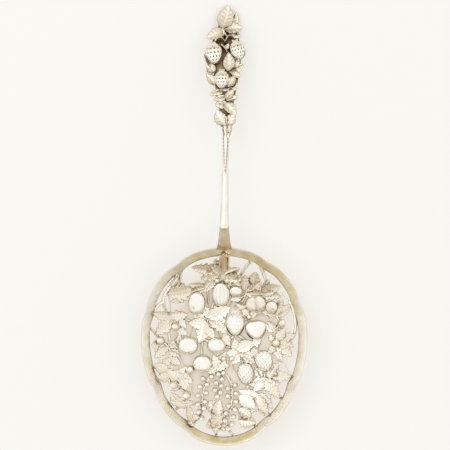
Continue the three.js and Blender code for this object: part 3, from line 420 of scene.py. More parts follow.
def rim_stain(heading, inset):
    """Tarnish on the rim: on its inner slope, and most in a few patches."""
    patches = sum(patch.strength * hill(heading - patch.heading, patch.spread) for patch in RIM_PATCHES)
    inner_slope = INNER_SLOPE_STAIN if inset > RIM_CREST else 0
    return inner_slope + patches * (OUTER_EDGE_SHARE + (1 - OUTER_EDGE_SHARE) * min(inset / RIM_CREST, 1))


def rim_line(heading, inset):
    """Painted shade along the rim's two edges, darkest at the foot of the bowl."""
    at_edges = max(hill(inset, OUTER_LINE), hill(RIM_WIDTH - inset, INNER_LINE))
    return (LINE_DARK + FOOT_LINE_DARK * hill(heading - FOOT_PATCH.heading, FOOT_PATCH.spread)) * at_edges


print("the rim has", len(RIM_PATCHES), "patches of tarnish")

# %% Spin the rim's section and move it to the outline
RIM_THICKNESS = 1.4
RIM_SECTION = (
    (0.3, 0), (0.06, 0.3), (0, 0.75), (0.05, 1.12), (0.2, 1.36), (0.45, 1.48), (0.8, 1.54), (1.2, 1.57),
    (1.6, 1.58), (2.0, 1.56), (2.6, 1.49), (3.2, 1.38), (3.8, 1.22), (4.15, 1.05), (4.28, 0.8), (4.3, 0.5),
    (4.24, 0.12), (4.05, 0), (2.2, 0),
)
RIM_STEPS = 360
SPIN_RADIUS = 50
CREASE_DEPTH = 0.16
CREASE_DARK = 0.2
BACK_DARK = 0.8
HAMMER_DEPTH = 0.05
HAMMER_BLOWS = 37
HAMMER_DRIFT = 11


def model_rim():
    rim = start_shape()
    recess_and_shade = rim.verts.layers.float[RECESS_AND_SHADE]
    stain = rim.verts.layers.float[STAIN]
    section = [rim.verts.new((SPIN_RADIUS - inset, 0, height)) for inset, height in RIM_SECTION]
    loop = [rim.edges.new(ends) for ends in zip(section, section[1:] + section[:1])]
    bmesh.ops.spin(rim, geom=section + loop, cent=(0, 0, 0), axis=(0, 0, 1), angle=2 * math.pi,
                   steps=RIM_STEPS, use_merge=True)
    for vert in rim.verts:
        turn = math.atan2(vert.co.y, vert.co.x)
        heading = math.degrees(turn) % 360
        inset = SPIN_RADIUS - math.hypot(vert.co.x, vert.co.y)
        plan = outline_point(turn, inset)
        crease = notch_at(math.degrees(math.atan2(plan.y, plan.x)))
        on_top = vert.co.z > RIM_THICKNESS / 2
        blows = math.sin(turn * HAMMER_BLOWS + 2 * math.sin(turn * HAMMER_DRIFT))
        hammered = HAMMER_DEPTH * blows * math.sin(inset)
        height = vert.co.z + (hammered - CREASE_DEPTH * crease if on_top else 0)
        vert.co = on_bowl(plan.x, plan.y, height)
        vert[recess_and_shade] = max(CREASE_DARK * crease, rim_line(heading, inset)) if on_top else BACK_DARK
        vert[stain] = rim_stain(heading, inset)
    return rim


finish_piece(model_rim(), "bowl_rim", RIM_SILVER)
print("the rim is spun in", RIM_STEPS, "steps")

# %% [markdown]
# ## The vines
# The vines are half-round wire: domed above, flat behind. A curve object with a bevel could draw them,
# but a section that is extruded step by step keeps the flat back on the bowl's surface. A smooth line
# runs through a few given points, and at each step a matrix says where the section lies and how large
# it is. Thin tendrils, drawn in the same way, curl from the vines into the gaps.

# %% A smooth line through given points
def smooth_line(points, step):
    """A Catmull-Rom line through the points, as points about one step apart."""
    ends = [points[0], *points, points[-1]]
    line = []
    for before, start, end, after in zip(ends, ends[1:], ends[2:], ends[3:]):
        count = max(2, math.ceil((end - start).length / step))
        for index in range(count):
            t = index / count
            bend = 2 * before - 5 * start + 4 * end - after
            twist = 3 * start - before - 3 * end + after
            line.append(0.5 * (2 * start + (end - before) * t + bend * t ** 2 + twist * t ** 3))
    line.append(points[-1])
    return line


# %% Lay a wire on the bowl or the handle
WIRE_STEP = 0.9
WIRE_SIDES = 12
WIRE_BACK = -0.3
WIRE_DARK = 0.55
WOBBLE = 0.07
WOBBLE_ACROSS = 1.7
WOBBLE_ALONG = 1.3
FEEL = 0.1


def station(lay, point, ahead, half, height, base):
    """The matrix that puts a unit section on the ground at one point of the wire."""
    right = Vector((ahead.y, -ahead.x)) * FEEL
    step = ahead * FEEL
    side = (lay(*(point + right), base) - lay(*(point - right), base)).normalized()
    forward = (lay(*(point + step), base) - lay(*(point - step), base)).normalized()
    up = side.cross(forward).normalized()
    matrix = Matrix((side * half, up * height, -forward)).transposed().to_4x4()
    matrix.translation = lay(point.x, point.y, base)
    return matrix


def sweep(shape, stations, sides=WIRE_SIDES):
    """Extrudes a domed, flat-backed section from station to station and caps its ends."""
    recess_and_shade = shape.verts.layers.float[RECESS_AND_SHADE]
    ring = bmesh.ops.create_circle(shape, segments=sides, radius=1)["verts"]
    for vert in ring:
        vert.co.y = (max(vert.co.y, WIRE_BACK) - WIRE_BACK) / (1 - WIRE_BACK)
    edges = list({edge for vert in ring for edge in vert.link_edges})
    bmesh.ops.transform(shape, matrix=stations[0], verts=ring)
    bmesh.ops.contextual_create(shape, geom=edges)
    for before, after in zip(stations, stations[1:]):
        grown = bmesh.ops.extrude_edge_only(shape, edges=edges)["geom"]
        ring = [item for item in grown if isinstance(item, bmesh.types.BMVert)]
        edges = [item for item in grown if isinstance(item, bmesh.types.BMEdge)]
        bmesh.ops.transform(shape, matrix=after @ before.inverted(), verts=ring)
        to_section = after.inverted()
        for vert in ring:
            # painted shade: the wire darkens towards its flat back
            vert[recess_and_shade] = WIRE_DARK * max(1 - (to_section @ vert.co).y, 0) ** 2
    bmesh.ops.contextual_create(shape, geom=edges)


def add_wire(shape, points, widths, height, base, lay):
    """A wire through plan points, from its first width to its last, which wobbles a little."""
    line = smooth_line(points, WIRE_STEP)
    stations = []
    for index, point in enumerate(line):
        ahead = (line[min(index + 1, len(line) - 1)] - line[max(index - 1, 0)]).normalized()
        along = index / (len(line) - 1)
        wobble = 1 + WOBBLE * math.sin(point.x * WOBBLE_ACROSS + point.y * WOBBLE_ALONG)
        half = (widths[0] + (widths[1] - widths[0]) * along) / 2 * wobble
        stations.append(station(lay, point, ahead, half, height * wobble, base))
    sweep(shape, stations)


# %% The seven vines
VINE_WIDTHS = (1.9, 1.52)
VINES = {
    "root_vine": [
        [(0, 0.998), (-0.02, 0.89), (-0.07, 0.755), (-0.11, 0.59), (-0.175, 0.395), (-0.235, 0.245),
         (-0.285, 0.09), (-0.305, -0.045), (-0.295, -0.2)],
    ],
    "right_vine": [
        [(-0.07, 0.755), (0.06, 0.7), (0.16, 0.605), (0.315, 0.6), (0.43, 0.48), (0.54, 0.505),
         (0.635, 0.445), (0.735, 0.355), (0.775, 0.24), (0.735, 0.12), (0.71, 0.02)],
        [(0.354, 0.942), (0.23, 0.8), (0.16, 0.605)],
        [(0.495, 0.89), (0.56, 0.755), (0.6, 0.645), (0.54, 0.505)],
        [(0.89, 0.5), (0.94, 0.41), (0.975, 0.25), (0.955, 0.13), (0.87, 0.05), (0.71, 0.02)],
    ],
    "cross_vine": [
        [(-0.2, 0.32), (-0.025, 0.35), (0.15, 0.285), (0.3, 0.3), (0.415, 0.2), (0.585, 0.19),
         (0.775, 0.24)],
        [(0.15, 0.285), (0.15, 0.14), (0.05, 0.05), (-0.03, 0)],
        [(0.15, 0.14), (0.3, 0.05), (0.36, -0.02)],
    ],
    "left_vine": [
        [(-0.635, 0.812), (-0.68, 0.73), (-0.83, 0.535), (-0.785, 0.37), (-0.75, 0.305), (-0.76, 0.145),
         (-0.73, -0.02), (-0.71, -0.13), (-0.715, -0.27), (-0.665, -0.365)],
        [(-0.73, -0.02), (-0.485, 0.005), (-0.295, 0.05)],
        [(-0.73, -0.02), (-0.855, 0.06), (-1.0, 0.2)],
        [(-0.715, -0.27), (-0.85, -0.26), (-0.95, -0.233)],
        [(-0.815, 0.5), (-0.89, 0.465), (-0.945, 0.41)],
        [(-0.65, 0.7), (-0.605, 0.745), (-0.582, 0.835)],
    ],
    "left_cross_vine": [
        [(-0.085, 0.715), (-0.26, 0.68), (-0.46, 0.645), (-0.6, 0.59), (-0.79, 0.59)],
        [(-0.33, 0.665), (-0.365, 0.475), (-0.33, 0.315), (-0.235, 0.245)],
        [(-0.75, 0.305), (-0.58, 0.315), (-0.43, 0.26), (-0.24, 0.23)],
    ],
    "lower_right_vine": [
        [(-0.28, 0.075), (-0.1, 0.005), (0.08, -0.02), (0.195, -0.06), (0.35, -0.02), (0.53, -0.12),
         (0.71, 0.02)],
        [(0.53, -0.12), (0.545, -0.24), (0.55, -0.365), (0.415, -0.395), (0.35, -0.405), (0.29, -0.31),
         (0.245, -0.185), (0.195, -0.06)],
        [(0.55, -0.365), (0.72, -0.35), (0.912, -0.33)],
        [(0.55, -0.365), (0.635, -0.465), (0.77, -0.58)],
        [(0.35, -0.405), (0.3, -0.545), (0.415, -0.6), (0.52, -0.67), (0.604, -0.755)],
        [(0.3, -0.545), (0.245, -0.67), (0.22, -0.795), (0.35, -0.85), (0.42, -0.885)],
    ],
    "bottom_vine": [
        [(-0.295, -0.2), (-0.125, -0.27), (0.06, -0.365), (0.105, -0.6), (0.045, -0.78), (-0.09, -0.88),
         (-0.11, -0.99)],
        [(-0.125, -0.27), (-0.25, -0.41), (-0.3, -0.575), (-0.31, -0.74), (-0.35, -0.8), (-0.41, -0.85),
         (-0.445, -0.87)],
        [(-0.665, -0.365), (-0.6, -0.47), (-0.505, -0.545), (-0.53, -0.645), (-0.3, -0.645)],
        [(-0.53, -0.645), (-0.62, -0.68), (-0.655, -0.704)],
        [(-0.04, -0.86), (0.05, -0.93), (0.12, -0.99)],
    ],
}
print("vines:", len(VINES))

# %% Tendrils, and the vines laid in the bowl
TENDRIL_WIDTHS = (0.8, 0.4)
TENDRIL_HEIGHT = 0.7
TENDRIL_BASE = 0.6 * VINE_HEIGHT
TENDRILS = {
    "left_vine": [
        [(-0.79, 0.4), (-0.72, 0.362), (-0.65, 0.36), (-0.57, 0.405), (-0.49, 0.46)],
        [(-0.76, 0.57), (-0.735, 0.48), (-0.73, 0.37)],
        [(-0.72, -0.1), (-0.6, -0.12), (-0.56, -0.2), (-0.5, -0.24)],
        [(-0.94, -0.05), (-0.9, -0.1), (-0.86, -0.2)],
    ],
    "left_cross_vine": [
        [(-0.6, 0.315), (-0.54, 0.28), (-0.5, 0.36), (-0.43, 0.39)],
        [(-0.43, 0.26), (-0.44, 0.18), (-0.47, 0.09)],
        [(-0.22, 0.6), (-0.235, 0.5), (-0.2, 0.43)],
    ],
    "cross_vine": [
        [(-0.2, 0.2), (-0.1, 0.18), (-0.06, 0.1), (0, 0.07)],
        [(0.42, 0.33), (0.54, 0.35), (0.61, 0.32), (0.62, 0.26)],
        [(0.48, 0.12), (0.5, 0.05), (0.46, -0.04)],
    ],
    "right_vine": [
        [(0.3, 0.56), (0.22, 0.5), (0.13, 0.43)],
        [(0.09, 0.62), (0.1, 0.5), (0.06, 0.42)],
        [(0.89, 0.5), (0.83, 0.53), (0.78, 0.6)],
        [(0.93, 0.11), (0.92, 0.03), (0.95, -0.06)],
    ],
    "lower_right_vine": [
        [(0.195, -0.06), (0.13, -0.13), (0.12, -0.24), (0.17, -0.3)],
        [(0.36, -0.1), (0.3, -0.17), (0.37, -0.22)],
        [(0.66, -0.5), (0.63, -0.57), (0.64, -0.64)],
        [(0.72, -0.16), (0.82, -0.2), (0.88, -0.3)],
    ],
    "bottom_vine": [
        [(-0.46, -0.3), (-0.42, -0.4), (-0.44, -0.5), (-0.39, -0.57)],
        [(-0.6, -0.47), (-0.66, -0.5), (-0.73, -0.49)],
    ],
}

for node, runs in VINES.items():
    vine = start_shape()
    for run in runs:
        points = [in_bowl(share) for share in run]
        add_wire(vine, points, VINE_WIDTHS, VINE_HEIGHT, 0, on_bowl)
    for run in TENDRILS.get(node, ()):
        points = [in_bowl(share) for share in run]
        add_wire(vine, points, TENDRIL_WIDTHS, TENDRIL_HEIGHT, TENDRIL_BASE, on_bowl)
    finish_piece(vine, node, VINE_SILVER)
print("wires laid:", sum(len(runs) for runs in (*VINES.values(), *TENDRILS.values())))

# %% [markdown]
# ## The leaves
# Each leaf is a small casting: toothed at the edge, folded along a raised midrib, with engraved veins and
# dirt left in them. It could be sculpted, but a grid that is bent by a formula gives a clean surface and
# lets every leaf differ a little: the grid's two directions run along the midrib and across the blade,
# and solidify then gives the blade its thickness. A style says how strong the folds, teeth and veins are
# in one region of the spoon. A seeded random choice folds some leaves up and others down, unless a leaf
# is told to lie flat.

# %% Styles of leaf
Leaf = namedtuple("Leaf", "foot point width lift fold", defaults=(0, None))
LeafStyle = namedtuple("LeafStyle", "folds curl teeth veins shade stalk")
BOWL_LEAF = LeafStyle(
    folds=(-0.1, 0.12, 0.16), curl=0.16, teeth=((1.7, 0.26), (2.5, 0.4), (3.2, 0.46)),
    veins=(1.5, 0.13, 0.34), shade=0.14, stalk=1)
TOP_LEAF = LeafStyle(
    folds=(-0.25, 0.22, 0.35), curl=0.3, teeth=((1.7, 0.26), (2.5, 0.42)),
    veins=(1.5, 0.14, 0.5), shade=0.3, stalk=1)
HEEL_LEAF = TOP_LEAF._replace(stalk=2.2)
FINIAL_LEAF = LeafStyle(
    folds=(-0.34, 0.3, 0.42), curl=0.4, teeth=((1.5, 0.12), (2.2, 0.16)),
    veins=(1.9, 0.14, 0.5), shade=0.6, stalk=3.8)
FLAT = 0.06
print("a leaf in the bowl has one of", len(BOWL_LEAF.teeth), "kinds of teeth")

# %% One leaf
LEAF_FACES = (16, 32)
BLADE_SHARE = 7 / 8
LEAF_THICKNESS = 0.6
LEAF_FOOT = 1.3
LEAF_POINT = 0.25
LEAF_SWELL = 0.8
LEAF_BEND = 0.09
LEAF_STAGGER = 0.5
EDGE_DRAFT = 0.25
EDGE_DROP = 0.45
EDGE_DARK = 0.85
EDGE_LINE_DARK = 0.2
VEIN_DEPTH = 0.12
VEIN_SLANT = 0.8
MIDRIB_HEIGHT = 0.28
MIDRIB_HALF = 0.3
MIDRIB_FADE = 0.6
MIDRIB_DIRT = 0.18


def add_blade(shape, size):
    """A flat grid from -1 to 1 both ways, as its vertices and its faces."""
    verts = bmesh.ops.create_grid(shape, x_segments=size[0], y_segments=size[1], size=1)["verts"]
    return verts, list({face for vert in verts for face in vert.link_faces})


def leaf_outline(along, width):
    swell = math.sin(math.pi * along ** LEAF_SWELL) ** LEAF_SWELL if 0 < along < 1 else 0
    ends = LEAF_FOOT + (LEAF_POINT - LEAF_FOOT) * along
    return max(ends, width * swell) / 2


def add_leaf(shape, leaf, ground, style, chance):
    foot, point = ground.plan(leaf.foot), ground.plan(leaf.point)
    length = (point - foot).length
    ahead = (point - foot).normalized()
    right = Vector((ahead.y, -ahead.x))
    bend = chance.uniform(-LEAF_BEND, LEAF_BEND) * length
    fold = chance.choice(style.folds)
    if leaf.fold is not None:
        fold = leaf.fold
    raised = chance.uniform(0, LEAF_STAGGER)
    tooth_step, tooth_depth = chance.choice(style.teeth)
    teeth = max(3, round(length / tooth_step))
    vein_step, vein_width, vein_dark = style.veins
    veins = max(3, round(length / vein_step))
    recess_and_shade = shape.verts.layers.float[RECESS_AND_SHADE]
    blade, faces = add_blade(shape, LEAF_FACES)
    for vert in blade:
        turned_down = abs(vert.co.x) > (1 + BLADE_SHARE) / 2
        drop, draft = (EDGE_DROP, EDGE_DRAFT) if turned_down else (0, 0)
        across = min(max(vert.co.x / BLADE_SHARE, -1), 1)
        along = (vert.co.y + 1) / 2
        spread = abs(across)
        tooth = 1 - tooth_depth * ((along * teeth) % 1) * spread ** 2
        half = leaf_outline(along, leaf.width) * tooth
        off_midrib = spread * half
        midrib = hill(off_midrib, MIDRIB_HALF)
        off_vein = (along * veins - VEIN_SLANT * spread) % 1 - 0.5
        vein = hill(off_vein, vein_width) * (1 - spread ** 6) * (1 - midrib)
        curl = style.curl * math.sin(math.pi * along) * spread ** 3
        height = raised + leaf.lift * along ** 2 + fold * off_midrib + curl
        height += MIDRIB_HEIGHT * midrib * (1 - along * MIDRIB_FADE) - VEIN_DEPTH * vein
        reach = across * half + math.copysign(draft, across)
        plan = foot + ahead * (along * length) + right * (reach + 4 * bend * along * (1 - along))
        vert.co = ground.lay(plan.x, plan.y, ground.seat + LEAF_THICKNESS + height - drop)
        # Painted shade on the turned-down edge and towards the foot; the veins and midrib lines hold grime.
        beside_midrib = hill(off_midrib - 2 * MIDRIB_HALF, MIDRIB_DIRT) * (1 - along)
        at_edge = EDGE_DARK if turned_down else EDGE_LINE_DARK * spread ** 12
        vert[recess_and_shade] = max(at_edge, vein_dark * max(vein, beside_midrib), style.shade * (1 - along) ** 3)
    bmesh.ops.solidify(shape, geom=faces, thickness=LEAF_THICKNESS)


# %% [markdown]
# ## Round berries
# Small round berries and buds hang between the leaves, and three trusses of currants fill the lower bowl.
# Each starts as a sphere whose poles turn to its stalk, and is flattened where it is seated. A skin
# function can push each point of the surface in or out and say how dark it is, so that the same helper
# makes every fruit.

# %% A fruit from a sphere
Fruit = namedtuple("Fruit", "at wide long high turn taper dome", defaults=(0, 0, 0.5))
FRUIT_SEAT = 0.38
SEAT_DEPTH = 0.2
FOOT_DRAFT = 0.03
FOOT_NARROWEST = 0.2
FOOT_LEVEL = 0.2
FOOT_DARK = 0.65
POLES_TO_STALK = Matrix.Rotation(-math.pi / 2, 3, "X")


def add_fruit(shape, fruit, ground, skin, faces):
    """A sphere pushed in or out by its skin, upright above its seat and straight-sided below."""
    recess_and_shade = shape.verts.layers.float[RECESS_AND_SHADE]
    verts = bmesh.ops.create_uvsphere(shape, u_segments=faces[0], v_segments=faces[1], radius=1)["verts"]
    bmesh.ops.rotate(shape, verts=verts, cent=(0, 0, 0), matrix=POLES_TO_STALK)
    spin = Matrix.Rotation(math.radians(fruit.turn), 2)
    centre = ground.plan(fruit.at)
    for vert in verts:
        point = vert.co.copy()
        push, dark = skin(point)
        if point.z < 0:
            push *= (1 - FOOT_DRAFT * point.z) / max(math.hypot(point.x, point.y), FOOT_NARROWEST)
        girth = (1 + fruit.taper * point.y) * push
        plan = centre + spin @ Vector((point.x * fruit.wide / 2 * girth, point.y * fruit.long / 2 * push))
        domed = math.copysign(abs(point.z) ** fruit.dome, point.z)
        height = fruit.high * FRUIT_SEAT + domed * fruit.high * (1 - FRUIT_SEAT) * push
        vert.co = ground.lay(plan.x, plan.y, ground.seat + max(height, -SEAT_DEPTH))
        # painted shade on the low sides, near the seat
        at_foot = min(max((FOOT_LEVEL - point.z) / FOOT_LEVEL, 0), 1)
        vert[recess_and_shade] = max(dark, FOOT_DARK * at_foot)


# %% Berries, buds and their stalks
BERRY_SIZE = 4.3
BUD_SIZE = 3
CURRANT_SIZE = 2.8
BERRY_FLATNESS = 0.88
BERRY_FACES = (24, 18)
STALK_WIDTHS = (1.3, 1.04)
BLOSSOM_END = Vector((0.25, -0.45, 0.86)).normalized()
PIT_SIZE = 0.14
PIT_DEPTH = 0.06
PIT_DARK = 0.5


def berry_skin(point):
    """A little pit where the blossom was."""
    pit = hill((point - BLOSSOM_END).length, PIT_SIZE)
    return 1 - PIT_DEPTH * pit, PIT_DARK * pit


def add_berry(shape, at, size, ground, faces=BERRY_FACES):
    add_fruit(shape, Fruit(at, size, size, size * BERRY_FLATNESS, dome=0.9), ground, berry_skin, faces)


def add_stalk(shape, points, ground, height):
    add_wire(shape, points, STALK_WIDTHS, height, ground.seat, ground.lay)


# %% [markdown]
# ## Sprays of leaves in the bowl
# Leaves that spring from one foot are one casting, often with a berry or two. A spray is listed: each leaf
# has its foot, its point and its width, and berries, buds and stalks follow. The list is the layout that
# the photograph shows, in shares of the openwork's half width and half length. A few sprays have a style
# of their own, or more tarnish.

# %% The bowl's sprays
Spray = namedtuple("Spray", "leaves berries buds stalks", defaults=((), (), ()))
BOWL_SPRAYS = {
    "heel_leaf": Spray(
        [Leaf((-0.04, 0.79), (0, 1.035), 6, 0.6), Leaf((-0.05, 0.82), (-0.13, 0.965), 5)],
        stalks=[[(0.025, 1.02), (0.03, 0.86)], [(0.06, 1.01), (0.055, 0.86)],
                [(-0.05, 1.01), (-0.07, 0.88)]]),
    "top_leaves_left": Spray(
        [Leaf((-0.09, 0.85), (-0.44, 0.875), 6.6), Leaf((-0.04, 0.8), (-0.19, 0.91), 4.4),
         Leaf((-0.07, 0.8), (-0.32, 0.75), 5.8), Leaf((-0.11, 0.75), (-0.27, 0.6), 5.6, fold=FLAT),
         Leaf((-0.24, 0.66), (-0.48, 0.68), 4, fold=FLAT), Leaf((-0.26, 0.64), (-0.46, 0.59), 4, fold=FLAT),
         Leaf((-0.04, 0.73), (-0.17, 0.64), 4.4, fold=FLAT)],
        buds=[(-0.096, 0.715)],
        stalks=[[(-0.12, 0.79), (-0.096, 0.72)], [(-0.22, 0.66), (-0.225, 0.6), (-0.205, 0.46)]]),
    "top_leaves_right": Spray(
        [Leaf((0.01, 0.8), (0.21, 0.86), 5), Leaf((0.02, 0.77), (0.26, 0.755), 5.6),
         Leaf((0.09, 0.73), (0.23, 0.66), 4.2), Leaf((0, 0.735), (0.1, 0.665), 4.4, fold=FLAT)],
        buds=[(0.035, 0.715)],
        stalks=[[(0.02, 0.79), (0.035, 0.72)]]),
    "broad_leaf_left": Spray(
        [Leaf((-0.45, 0.62), (-0.76, 0.58), 10), Leaf((-0.56, 0.66), (-0.74, 0.7), 5),
         Leaf((-0.7, 0.67), (-0.62, 0.77), 2.8), Leaf((-0.5, 0.56), (-0.72, 0.49), 4.4)]),
    "veined_leaf_right": Spray(
        [Leaf((0.33, 0.61), (0.43, 0.825), 8), Leaf((0.27, 0.62), (0.285, 0.79), 5),
         Leaf((0.38, 0.61), (0.5, 0.71), 4.6), Leaf((0.235, 0.535), (0.08, 0.51), 4.6),
         Leaf((0.29, 0.43), (0.16, 0.47), 4.4)],
        stalks=[[(0.3, 0.63), (0.29, 0.56), (0.215, 0.44)], [(0.29, 0.57), (0.22, 0.535)],
                [(0.27, 0.63), (0.38, 0.62)]]),
    "serrated_leaves_right": Spray(
        [Leaf((0.5, 0.57), (0.76, 0.66), 6.2), Leaf((0.51, 0.565), (0.77, 0.55), 5.4),
         Leaf((0.54, 0.57), (0.6, 0.74), 4.6), Leaf((0.55, 0.57), (0.29, 0.575), 5)]),
    "side_leaves_right": Spray(
        [Leaf((0.7, 0.33), (0.79, 0.52), 5.4), Leaf((0.71, 0.33), (0.9, 0.46), 5),
         Leaf((0.73, 0.34), (0.5, 0.375), 4.6), Leaf((0.68, 0.16), (0.57, 0.27), 5.4)],
        berries=[(0.775, 0.25)],
        stalks=[[(0.71, 0.34), (0.76, 0.26)], [(0.77, 0.24), (0.68, 0.17)]]),
    "star_leaves_right": Spray(
        [Leaf((0.71, 0.06), (0.82, 0.2), 5), Leaf((0.72, 0.05), (0.96, 0.13), 5.2),
         Leaf((0.72, 0.03), (0.94, 0.005), 5), Leaf((0.72, 0.01), (0.91, -0.115), 5.6),
         Leaf((0.7, 0), (0.78, -0.16), 5), Leaf((0.69, 0), (0.6, -0.09), 4.2),
         Leaf((0.68, 0.05), (0.62, 0.13), 3.6)],
        berries=[(0.69, 0.03)]),
    "rim_leaves_right": Spray(
        [Leaf((0.6, -0.35), (0.74, -0.19), 6), Leaf((0.66, -0.345), (0.905, -0.33), 6)],
        stalks=[[(0.6, -0.34), (0.68, -0.35)]]),
    "long_leaves_right": Spray(
        [Leaf((0.5, -0.355), (0.745, -0.575), 7.2), Leaf((0.57, -0.38), (0.32, -0.43), 5.6),
         Leaf((0.54, -0.4), (0.4, -0.5), 5), Leaf((0.58, -0.4), (0.75, -0.42), 4.2),
         Leaf((0.5, -0.35), (0.42, -0.24), 4.6)]),
    "lower_leaves_right": Spray(
        [Leaf((0.46, -0.55), (0.2, -0.5), 5), Leaf((0.21, -0.555), (0.42, -0.69), 7.6),
         Leaf((0.33, -0.57), (0.57, -0.535), 4.6), Leaf((0.45, -0.55), (0.515, -0.74), 4.6),
         Leaf((0.47, -0.55), (0.595, -0.755), 5.4), Leaf((0.48, -0.55), (0.65, -0.69), 4)]),
    "bottom_leaf_right": Spray(
        [Leaf((0.19, -0.815), (0.43, -0.845), 7.4), Leaf((0.36, -0.78), (0.19, -0.69), 5.6)],
        stalks=[[(0.33, -0.76), (0.44, -0.715), (0.55, -0.77)], [(0.34, -0.77), (0.33, -0.84)]]),
    "vine_leaf_bottom": Spray(
        [Leaf((-0.08, -0.72), (-0.12, -0.97), 7.2), Leaf((-0.08, -0.8), (-0.24, -0.9), 5.2),
         Leaf((-0.07, -0.82), (0.02, -0.94), 4.6), Leaf((-0.07, -0.77), (-0.21, -0.61), 7.6),
         Leaf((-0.08, -0.78), (-0.06, -0.6), 6)]),
    "bottom_leaf_left": Spray(
        [Leaf((-0.49, -0.815), (-0.33, -0.785), 4.8), Leaf((-0.47, -0.82), (-0.49, -0.66), 4),
         Leaf((-0.46, -0.8), (-0.41, -0.885), 4)]),
    "lower_leaf_left": Spray(
        [Leaf((-0.42, -0.625), (-0.66, -0.655), 4), Leaf((-0.52, -0.65), (-0.74, -0.61), 5.4),
         Leaf((-0.61, -0.63), (-0.72, -0.52), 4.8)],
        berries=[(-0.505, -0.545)],
        stalks=[[(-0.505, -0.56), (-0.53, -0.645)], [(-0.5, -0.54), (-0.6, -0.48)]]),
    "lobed_leaf_left": Spray(
        [Leaf((-0.55, -0.355), (-0.81, -0.26), 7), Leaf((-0.56, -0.36), (-0.8, -0.375), 6),
         Leaf((-0.6, -0.36), (-0.52, -0.49), 6.4), Leaf((-0.64, -0.36), (-0.43, -0.4), 6.6),
         Leaf((-0.6, -0.35), (-0.51, -0.235), 6), Leaf((-0.76, -0.29), (-0.945, -0.2), 5.8),
         Leaf((-0.74, -0.34), (-0.9, -0.34), 5.4)],
        berries=[(-0.68, -0.43), (-0.46, -0.265)],
        stalks=[[(-0.46, -0.27), (-0.52, -0.33)], [(-0.67, -0.42), (-0.66, -0.37)]]),
    "curled_leaves_left": Spray(
        [Leaf((-0.76, -0.02), (-0.94, -0.13), 5.4), Leaf((-0.76, 0.04), (-0.61, -0.02), 4.4),
         Leaf((-0.74, -0.05), (-0.6, -0.115), 4.4), Leaf((-0.73, -0.14), (-0.595, -0.205), 4.6),
         Leaf((-0.73, -0.14), (-0.84, -0.25), 4.4), Leaf((-0.86, 0.03), (-0.985, 0), 5),
         Leaf((-0.62, 0.02), (-0.6, 0.13), 4)],
        berries=[(-0.855, 0.06)],
        stalks=[[(-0.85, 0.05), (-0.75, -0.03), (-0.72, -0.16)]]),
    "star_leaves_left": Spray(
        [Leaf((-0.73, 0.32), (-0.955, 0.365), 5), Leaf((-0.73, 0.31), (-0.92, 0.13), 7.4),
         Leaf((-0.75, 0.325), (-0.49, 0.345), 6), Leaf((-0.745, 0.3), (-0.79, 0.13), 4.2),
         Leaf((-0.64, 0.19), (-0.5, 0.13), 4.8), Leaf((-0.6, 0.3), (-0.52, 0.2), 4.4)],
        berries=[(-0.655, 0.21)],
        stalks=[[(-0.655, 0.21), (-0.74, 0.3)]]),
    "centre_leaves_left": Spray(
        [Leaf((-0.25, 0.265), (-0.34, 0.035), 8), Leaf((-0.23, 0.24), (-0.48, 0.25), 6.4),
         Leaf((-0.24, 0.2), (-0.14, 0.08), 4.6), Leaf((-0.27, 0.28), (-0.42, 0.36), 5)]),
    "centre_leaves_middle": Spray(
        [Leaf((-0.21, 0.31), (0.08, 0.43), 8.8), Leaf((-0.2, 0.29), (0.04, 0.13), 6.6),
         Leaf((-0.2, 0.31), (-0.26, 0.44), 5.6), Leaf((-0.15, 0.3), (0.02, 0.28), 5.4),
         Leaf((0, 0.13), (0.07, 0), 4.6)]),
    "centre_leaves_right": Spray(
        [Leaf((0.19, -0.085), (0.14, 0.075), 5.6), Leaf((0.18, -0.05), (0.42, 0.03), 6.6),
         Leaf((0.19, -0.075), (0.4, -0.115), 5.4), Leaf((0.19, -0.07), (0.03, -0.085), 5.4),
         Leaf((0.2, -0.1), (0.1, -0.2), 4.8), Leaf((0.26, -0.11), (0.42, -0.19), 4.8),
         Leaf((0.36, 0.02), (0.5, 0.08), 4.6), Leaf((0.38, -0.03), (0.47, -0.12), 4.4)]),
    "middle_leaves": Spray(
        [Leaf((-0.1, -0.29), (-0.15, -0.1), 5.6), Leaf((-0.09, -0.275), (0.02, -0.165), 4.4),
         Leaf((-0.11, -0.26), (-0.22, -0.3), 4.2), Leaf((-0.1, -0.13), (0.03, -0.07), 4.2)]),
    "bud_sprig": Spray(
        [Leaf((0.33, 0.33), (0.23, 0.42), 4.6), Leaf((0.33, 0.33), (0.45, 0.365), 3.6)],
        buds=[(0.335, 0.32)],
        stalks=[[(0.335, 0.32), (0.27, 0.28)]]),
}
print("sprays in the bowl:", len(BOWL_SPRAYS))

# %% Model the bowl's sprays
SPRAY_STYLES = {
    "heel_leaf": HEEL_LEAF, "top_leaves_left": TOP_LEAF, "top_leaves_right": TOP_LEAF,
    "veined_leaf_right": TOP_LEAF, "serrated_leaves_right": TOP_LEAF, "vine_leaf_bottom": TOP_LEAF,
    "bottom_leaf_right": TOP_LEAF,
}
PLAIN_STAIN = 0.04
SPRAY_STAIN = {
    "heel_leaf": 0.55, "top_leaves_left": 0.34, "top_leaves_right": 0.28, "veined_leaf_right": 0.24,
    "serrated_leaves_right": 0.28, "broad_leaf_left": 0.15, "side_leaves_right": 0.15,
    "star_leaves_right": 0.2, "vine_leaf_bottom": 0.3, "bottom_leaf_left": 0.3, "bottom_leaf_right": 0.25,
    "lower_leaf_left": 0.2,
}


